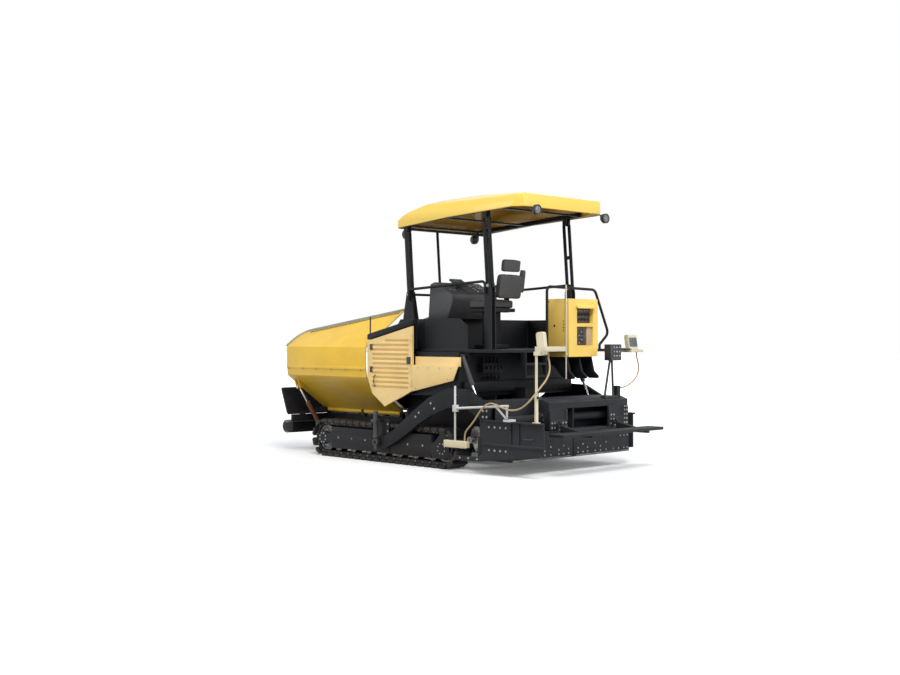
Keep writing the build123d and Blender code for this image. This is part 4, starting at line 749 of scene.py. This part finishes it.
def pad(name, size, crown, pull, channels, place):
    """A stuffed pad on its back: domed top, sewn channels, drawn-in sides and a welted edge."""
    clear_selection()
    bpy.ops.mesh.primitive_cube_add(size=2)
    cushion = bpy.context.object
    turn_to("EDIT")
    bpy.ops.mesh.select_all(action="SELECT")
    bpy.ops.mesh.subdivide(number_cuts=30)
    turn_to("OBJECT")
    half = Vector(size) / 2
    for vertex in cushion.data.vertices:
        x, y, z = vertex.co / rounded_share(*vertex.co)
        bulge = (1 - x * x) * (1 - y * y)
        seam = sum(math.exp(-((y * half.y - at) / STITCH) ** 2) for at in channels if abs(x) < 0.86)
        if channels:
            seam += math.exp(-((abs(x) - 0.80) * half.x / STITCH) ** 2)
        up = z * half.z
        if z > 0:
            up += crown * (bulge ** 0.6 - 1) * z - 0.010 * seam * max(0, z - 0.5) * 2
        side = 1 - pull * (1 - z * z) * 0.5
        vertex.co = (x * half.x * (side - pull * (1 - abs(y)) * (abs(x) > 0.7)),
                     y * half.y * (side - pull * (1 - abs(x)) * (abs(y) > 0.7)), up)
    smooth(cushion, 180)
    welt = []
    for x, y in circle(48, 0.955):
        out = rounded_share(x, y) / 0.955
        welt.append((x / out * half.x, y / out * half.y, half.z * 0.60 - crown * 0.55))
    piece = join([cushion, hoop(welt, 0.0045)])
    piece.data.transform(place)
    settle(piece, name, "chassis", vinyl)
    return piece


SEAT = Matrix.Translation((-1.300, 0.500, 2.200))
BACK = SEAT @ Matrix.Translation((-0.232, 0, 0.076)) @ Matrix.Rotation(math.radians(-8), 4, "Y")
upright = Matrix.Rotation(math.radians(90), 4, "Y")
cushion_pad = pad("seat_cushion", (0.462, 0.476, 0.130), 0.020, 0.03, (-0.11, 0.11),
                  SEAT @ Matrix.Translation((0.005, 0, 0.066)))
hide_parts("seat")
pad("seat_back", (0.336, 0.456, 0.104), 0.018, 0.04, (-0.11, 0.11),
    BACK @ Matrix.Translation((-0.062, 0, 0.230)) @ upright)
pad("seat_headrest", (0.166, 0.336, 0.080), 0.014, 0.04, (),
    BACK @ Matrix.Translation((-0.060, 0, 0.515)) @ upright)
pad("seat_armrest", (0.316, 0.064, 0.068), 0.008, 0.02, (),
    BACK @ Matrix.Translation((-0.055, -0.258, 0.310)) @ upright)
stalks = [bar([BACK @ Vector((-0.06, y, 0.38)), BACK @ Vector((-0.06, y, 0.45))], 0.008, 2)
          for y in (-0.08, 0.08)]
settle(join(stalks), "headrest_stalks", "chassis", rod_chrome)

# -------- operator's console and pod
# A moulded desk with a sunk switch panel, a small screen under dark glass,
# a steering dial and control levers in rubber boots; a keypad tops the seat's pod.
UP = (0, 0, 1)
DESK_EDGE_X = -0.79     # near edge of the console's sloping top
DESK_EDGE_Z = 2.41
DIAL = (0.10, -0.08)    # middle of the steering dial, along the slope and across
DIAL_RADIUS = 0.085
POD_TOP = 2.424
console_grey = Finish("console_grey", Roughness=0.5)
console_grey.dress(
    Base_Color=console_grey.mix(console_grey.noise(60), (0.022, 0.023, 0.026), (0.036, 0.037, 0.042)),
    Normal=console_grey.relief(console_grey.noise(800, 2), 0.0003, 0.3))
finish_node("operator_console", console_grey, 0.012, 3)
desk_slope = Vector((0.36, 0, 0.18)).normalized()
desk_normal = Vector((-0.18, 0, 0.36)).normalized()


def on_desk(along, y, lift=0.0):
    """A point on the console's sloping top, measured up from its near edge."""
    return Vector((DESK_EDGE_X, y, DESK_EDGE_Z)) + desk_slope * along + desk_normal * lift


def on_console(piece, name, finish):
    settle(piece, name, "chassis", finish)


def lay_keys(name, height, first, step, columns, rows, body):
    """Keys on a level top, in rows along x that follow each other along y."""
    x, y, z = first
    places = [((x + step[0] * n, y + step[1] * row, z), UP) for row in range(rows) for n in range(columns)]
    stamp(name, rivet(0.009, 0.004, 0.006, height), places, body, bolt_steel)


panel = bar_between(on_desk(0.05, 0.18, 0.003), on_desk(0.30, 0.18, 0.003), 0.46, 0.010, desk_normal)
on_console(panel, "switch_panel", moulded)
switches = [(on_desk(0.09 + 0.055 * row, 0.06 * column, 0.008), desk_normal)
            for column in (0, 1, 3) for row in range(4)]
switch_cap = turned(0.013, [(0.013, 0.006), (0.009, 0.012), (0.004, 0.013)], 16)
stamp("desk_switches", switch_cap, switches, "chassis", bolt_steel)

screen_glass = Finish("screen_glass", Roughness=0.07, Coat_Weight=0.6)
tiles = screen_glass.node("ShaderNodeTexBrick", {
    "Vector": screen_glass.place, "Scale": 9.0, "Mortar Size": 0.03,
    "Color1": (0.02, 0.05, 0.06), "Color2": (0.03, 0.07, 0.06), "Mortar": (0.10, 0.13, 0.14)})
screen_glass.dress(Base_Color=tiles)
screen_case = bar_between(on_desk(0.16, 0.45, 0.06), on_desk(0.34, 0.45, 0.075), 0.24, 0.030, desk_normal)
on_console(screen_case, "screen_case", moulded)
screen = bar_between(on_desk(0.18, 0.45, 0.077), on_desk(0.32, 0.45, 0.089), 0.20, 0.004, desk_normal)
on_console(screen, "screen_face", screen_glass)
on_console(bar([on_desk(0.24, 0.45, -0.01), on_desk(0.24, 0.45, 0.06)], 0.02, 2), "screen_leg", moulded)

lever = turned(0.030, [(0.030, 0.004), (0.024, 0.014), (0.026, 0.018), (0.016, 0.032), (0.008, 0.036),
                       (0.007, 0.110), (0.016, 0.118), (0.020, 0.140), (0.010, 0.156)], 18)
levers = [(on_desk(0.12, y), desk_normal) for y in (0.62, 0.70)]
stamp("lever_boots", lever, levers, "chassis", moulded)

dial_stem = bar([on_desk(*DIAL), on_desk(*DIAL, 0.085)], 0.016, 2)
rim_points = [on_desk(*DIAL, 0.088) + desk_slope * along + Vector((0, across, 0))
              for along, across in circle(16, DIAL_RADIUS)]
dial_rim = hoop(rim_points, 0.011)
spokes = [bar([on_desk(*DIAL, 0.082), rim_points[n]], 0.007, 2) for n in (0, 5, 11)]
on_console(join([dial_stem, dial_rim] + spokes), "steering_dial", moulded)

lay_keys("pod_keys", 0.008, (-1.34, 0.178, POD_TOP), (0.045, 0.034), 5, 2, "chassis")
joystick = turned(0.022, [(0.022, 0.003), (0.012, 0.022), (0.007, 0.026), (0.007, 0.070), (0.017, 0.080),
                          (0.019, 0.105), (0.009, 0.120)], 18)
stamp("pod_joystick", joystick, [((-1.115, 0.205, POD_TOP), (0.1, 0, 1))], "chassis",
      moulded)

# -------- control cabinet
# Folded sheet cabinet in yellow at the rear of the platform. Its rear face holds a socket panel
# under a hood flap and a fuse panel below; its left side has a lock and a row of rivets.
REAR_FACE = -2.05
SIDE_FACE_Y = -0.250
BACK_OUT = (-1, 0, 0)
LEFT_OUT = (0, 1, 0)
cabinet_yellow = painted("cabinet_yellow", (0.86, 0.58, 0.115), (0.64, 0.44, 0.10), (0.72, 0.60, 0.36),
                         0.14, 0.34)
panel_brown = painted("panel_brown", (0.055, 0.036, 0.022), (0.16, 0.12, 0.08), (0.16, 0.13, 0.10), 0.3, 0.45)
panel_tan = painted("panel_tan", (0.50, 0.36, 0.20), (0.62, 0.50, 0.32), (0.62, 0.52, 0.36), 0.2, 0.5)
finish_node("control_cabinet", cabinet_yellow, 0.003)


def sunk_panel(name, depths, ys, zs, rim, raised, finish):
    """A panel between two depths inside the cabinet's rear face."""
    piece = plate((REAR_FACE + depths[0], ys[0], zs[0]), (REAR_FACE + depths[1], ys[1], zs[1]),
                  BACK_OUT, rim, raised)
    settle(piece, name, "chassis", finish)


def on_back(x, spots):
    """Places at (y, z) spots on a face that looks backwards."""
    return [((x, y, z), BACK_OUT) for y, z in spots]


def on_panel(name, model, depth, spots, finish):
    """Small parts on a sunk panel of the cabinet."""
    stamp(name, model, on_back(REAR_FACE + depth, spots), "chassis", finish)


sunk_panel("socket_panel", (0.058, 0.071), (-0.786, -0.444), (2.004, 2.206), 0.010, 0.004, panel_brown)
sunk_panel("fuse_panel", (0.034, 0.046), (-0.670, -0.444), (1.694, 1.946), 0.010, 0.004, panel_brown)
sunk_panel("blank_panel", (0.026, 0.046), (-0.786, -0.678), (1.694, 1.946), 0.012, 0.003, panel_tan)
socket = turned(0.026, [(0.026, 0.006), (0.020, 0.010), (0.017, 0.026), (0.014, 0.026), (0.013, 0.012)], 20)
on_panel("panel_sockets", socket, 0.056,
         [(y, z) for z in (2.055, 2.125) for y in (-0.735, -0.665, -0.595, -0.525)], moulded)
toggle = turned(0.011, [(0.011, 0.005), (0.006, 0.010), (0.005, 0.020), (0.003, 0.021)], 12)
on_panel("panel_switches", toggle, 0.055,
         [(y, 2.178) for y in (-0.74, -0.70, -0.66, -0.60, -0.56, -0.52, -0.48)], bolt_steel)
fuses = [plate((REAR_FACE + 0.018, y - 0.016, z - 0.014), (REAR_FACE + 0.034, y + 0.016, z + 0.014),
               BACK_OUT, 0.004, -0.003, 0.002, 1)
         for z in (1.90, 1.855, 1.80, 1.745) for y in (-0.60, -0.545, -0.49)]
settle(join(fuses), "fuse_caps", "chassis", moulded)
on_panel("fuse_dials", turned(0.012, [(0.012, 0.004), (0.008, 0.012), (0.005, 0.013)], 14), 0.033,
         [(-0.572, 1.878), (-0.517, 1.828), (-0.572, 1.772), (-0.517, 1.722)], bolt_steel)

rivets = [(-1.965, z) for z in (2.03, 1.985, 1.94, 1.895)]
rivets += [(x, z) for x in (-2.02, -1.70) for z in (1.57, 2.30)]
stamp("cabinet_rivets", rivet(0.009, 0.003, 0.005, 0.007), on_side(SIDE_FACE_Y, 1, rivets),
      "chassis", moulded)
stamp("cabinet_lock", turned(0.017, [(0.017, 0.004), (0.012, 0.009), (0.009, 0.004)], 18),
      on_side(SIDE_FACE_Y, 1, [(-1.80, 1.965)]), "chassis", moulded)

# -------- screed, footboard and extensions
# Heavy black-painted boxes with raised bars on what is walked on. Wear plates, guides and
# end gates are held by bright zinc-plated bolts.
SCREED_REAR_X = -2.364      # rear face of the bolted plates
WEAR_BAR_X = -2.352
EXTENSION_REAR_X = -2.35
GATE_FACE_Y = 1.290         # outer face of an end gate
GUIDE = (-2.19, 0.72)       # middle (x, z) of an extension's guide tube
SCREED_TOP = 0.970


def tread(finish):
    """Raised bars of tread plate, on the faces that look up."""
    bands = finish.node("ShaderNodeTexWave", {"Vector": finish.place, "Scale": 26.0},
                        bands_direction="DIAGONAL")
    bars = finish.ramp(bands, (0.72, 0.0), (0.86, 1.0))
    upward = finish.ramp(finish.facing("Z"), (0.8, 0.0), (0.9, 1.0))
    raised = finish.node("ShaderNodeBump", {"Height": bars * upward, "Distance": 0.0022, "Strength": 0.8,
                                            "Normal": finish.feeding("Normal")})
    finish.dress(Normal=raised)
    return finish


# the dust on its walked-on tops is also painted light falling on them
screed_paint = tread(painted("screed_black", (0.0095, 0.0110, 0.0135), (0.08, 0.08, 0.08),
                             (0.15, 0.155, 0.165), 0.42, 0.46, 1.1, specular=0.18))
for node in ("main_screed", "footboard", "extension_left", "extension_right", "end_gate_left",
             "end_gate_right"):
    finish_node(node, screed_paint, 0.004)

rear_spots = [(y, z) for y in (-1.15, -1.10) for z in (0.60, 0.66, 0.72, 0.78, 0.83)]
rear_spots += [(y, z) for y in (-0.86, -0.80) for z in (0.60, 0.66, 0.72)]
rear_spots += [(y, z) for y in (0.17, 0.23, 0.39, 0.45) for z in (0.60, 0.66)]
bolts("rear_plate_bolts", 0.012, on_back(SCREED_REAR_X, rear_spots), "screed")
guide_bolts = [((GUIDE[0] + across, y, GUIDE[1] + up), LEFT_OUT)
               for y in (0.502, 0.006, -1.164) for across, up in circle(6, 0.066, 15)]
bolts("guide_bolts", 0.008, guide_bolts, "screed")
wear_bars = [bar_between(Vector((WEAR_BAR_X, start, 0.552)), Vector((WEAR_BAR_X, end, 0.552)), 0.020, 0.010,
                         Vector(BACK_OUT)) for start, end in ((-1.17, -0.74), (0.10, 0.47))]
settle(join(wear_bars), "screed_wear_bars", "screed", screed_paint)
walk_bolts = [((x, y, SCREED_TOP), UP) for x in (-1.80, -2.00)
              for y in (-1.14, -0.76, -0.38, 0.0, 0.38, 0.76, 1.14)]
stamp("walkway_bolts", rivet(0.012, 0.003, 0.007, 0.007), walk_bolts, "screed", screed_paint)
hinge_bolts = [((-2.41, y, 0.585), (0, sign, 0))
               for y, sign in ((0.357, 1), (0.303, -1), (-0.823, 1), (-0.877, -1))]
bolts("footboard_pins", 0.016, hinge_bolts, "footboard")

low_row = (0.10, 0.20, 0.30, 0.46, 0.58, 0.70, 0.86, 0.98, 1.10, 1.18)
extension_spots = [(y, 0.245) for y in low_row]
extension_spots += [(y, 0.30 + 0.05 * (n % 2)) for n, y in enumerate(low_row[:6])]
extension_spots += [(y, z) for y in (1.02, 1.10, 1.18) for z in (0.42, 0.50)]
gate_spots = [(x, z) for x in (-2.02, -2.12, -2.22, -2.32) for z in (0.34, 0.64)]
gate_spots += [(x, 0.205) for x in (-1.80, -1.64, -1.48)]
for side, sign in SIDES:
    extension = "extension_" + side
    rear_bolts = on_back(EXTENSION_REAR_X, [(sign * y, z) for y, z in extension_spots])
    bolts("extension_bolts_" + side, 0.010, rear_bolts, extension)
    y0, y1 = band(0.62, 1.16, sign)
    cover = plate((-2.358, y0, 0.40), (-2.349, y1, 0.53), BACK_OUT, 0.014, -0.004)
    settle(cover, "heater_cover_" + side, extension, screed_paint)
    y0, y1 = band(0.06, 1.20, sign)
    wear_edge = plate((-2.357, y0, 0.194), (-2.349, y1, 0.216), BACK_OUT, 0.005, 0.002, 0.002, 1)
    settle(wear_edge, "screed_edge_" + side, extension, running_steel)
    bolts("gate_bolts_" + side, 0.012, on_side(GATE_FACE_Y, sign, gate_spots), extension)

grip = grab_handle((-2.80, GATE_FACE_Y, 0.52), (-2.64, GATE_FACE_Y, 0.52), (0, 0.036, 0), 0.009)
settle(grip, "gate_grip", "extension_left", moulded)
gate_ribs = [plate((x, GATE_FACE_Y - 0.001, 0.44), (x + 0.012, GATE_FACE_Y + 0.020, 0.70), LEFT_OUT,
                   0.002, 0.0, 0.002, 1) for x in (-2.56, -2.42)]
settle(join(gate_ribs), "gate_ribs", "extension_left", screed_paint)

# -------- remote consoles
# Pale moulded consoles on posts, one at each end of the screed: an open tray with a keypad
# and levers, and a rounded sun shield behind a small dark screen.
BEIGE = (0.66, 0.60, 0.42)
BEIGE_DUST = (0.56, 0.50, 0.38)
beige = painted("remote_beige", BEIGE, (0.46, 0.40, 0.28), BEIGE_DUST, 0.3, 0.45)
finish_node("remote_left", beige, 0.004)
beige_right = painted("remote_black_and_beige", BEIGE, (0.30, 0.27, 0.20), BEIGE_DUST, 0.3, 0.45)
# the right console's legs and box, up to 1.585 m, are black
legs = beige_right.ramp(beige_right.along("Z") * 0.5, (0.792, 1.0), (0.794, 0.0))
beige_right.dress(Base_Color=beige_right.mix(legs, beige_right.feeding("Base Color"), (0.012, 0.013, 0.015)))
finish_node("remote_right", beige_right, 0.004)


def tip_over(piece, degrees, centre):
    """Turns a piece's mesh about a line along Y through a point."""
    turn = Matrix.Rotation(math.radians(degrees), 4, "Y")
    piece.data.transform(Matrix.Translation(centre) @ turn @ Matrix.Translation(-Vector(centre)))


left_keypad = plate((-2.965, 0.925, 1.638), (-2.835, 1.150, 1.662), UP, 0.010, -0.003)
settle(left_keypad, "left_keypad", "extension_left", moulded)
lay_keys("left_keys", 0.007, (-2.945, 0.950, 1.660), (0.030, 0.034), 4, 6, "extension_left")
small_lever = turned(0.012, [(0.012, 0.003), (0.005, 0.012), (0.004, 0.040), (0.010, 0.048), (0.010, 0.062),
                             (0.004, 0.068)], 14)
stamp("left_levers", small_lever, [((x, 1.180, 1.655), (0, -0.1, 1)) for x in (-2.90, -2.86)],
      "extension_left", moulded)
left_display = plate((-2.950, 1.217, 1.680), (-2.860, 1.2245, 1.790), (0, -1, 0), 0.008, -0.002)
tip_over(left_display, 7, (-2.905, 1.256, 1.695))
settle(left_display, "left_display", "extension_left", screen_glass)
knob = turned(0.020, [(0.020, 0.004), (0.013, 0.006), (0.012, 0.030), (0.018, 0.034), (0.018, 0.046),
                      (0.010, 0.050)], 18)
stamp("mast_clamp_knob", knob, [((-2.884, 1.312, 1.05), BACK_OUT)], "extension_left", moulded)

box_cover = plate((-2.354, -1.054, 1.476), (-2.226, -0.816, 1.704), BACK_OUT, 0.014, -0.0035, 0.012, 3)
settle(box_cover, "right_box_cover", "screed", moulded)
box_dials = on_back(-2.352, [(y, z) for y in (-1.00, -0.94, -0.88) for z in (1.54, 1.60, 1.66)])
stamp("right_box_dials", turned(0.013, [(0.013, 0.005), (0.009, 0.013), (0.004, 0.014)], 14), box_dials,
      "screed", bolt_steel)
right_keypad = plate((-2.425, -1.185, 1.629), (-2.275, -1.075, 1.645), UP, 0.008, -0.003)
settle(right_keypad, "right_keypad", "screed", moulded)
lay_keys("right_keys", 0.007, (-2.405, -1.165, 1.644), (0.030, 0.030), 4, 3, "screed")
right_display = plate((-2.371, -1.385, 1.665), (-2.362, -1.215, 1.795), BACK_OUT, 0.008, -0.002)
tip_over(right_display, 8, (-2.33, -1.30, 1.725))
settle(right_display, "right_display", "screed", screen_glass)

# -------- levelling sensor and its arm
# White-painted round bars in clamps with wing screws carry a cream moulded sensor beam
# that rides over the reference line beside the machine.
white_bar = painted("rig_white", (0.62, 0.61, 0.58), (0.34, 0.33, 0.31), (0.46, 0.42, 0.35), 0.3, 0.4)
finish_node("sensor_rig", white_bar, 0.002)
cream = painted("sensor_cream", (0.72, 0.62, 0.40), (0.5, 0.44, 0.32), (0.5, 0.45, 0.35), 0.25, 0.4)
finish_node("levelling_sensor", cream, 0.010, 3)
clamp_knob = turned(0.018, [(0.018, 0.004), (0.010, 0.006), (0.009, 0.016), (0.016, 0.019), (0.016, 0.026),
                            (0.008, 0.029)], 16)
stamp("rig_knobs", clamp_knob, [((-1.474, 1.40, 0.865), (1, 0, 0)), ((-2.44, 1.40, 0.762), UP)],
      "extension_left", moulded)
sensor_screws = on_side(1.435, 1, [(x, z) for x in (-1.70, -1.52, -1.35) for z in (0.365, 0.420)])
stamp("sensor_screws", rivet(0.006, 0.002, 0.003, 0.004), sensor_screws, "extension_left",
      bolt_steel)
foot = plate((-1.742, 1.367, 0.343), (-1.675, 1.433, 0.357), (0, 0, -1), 0.006, 0.0)
settle(foot, "sensor_foot", "extension_left", moulded)
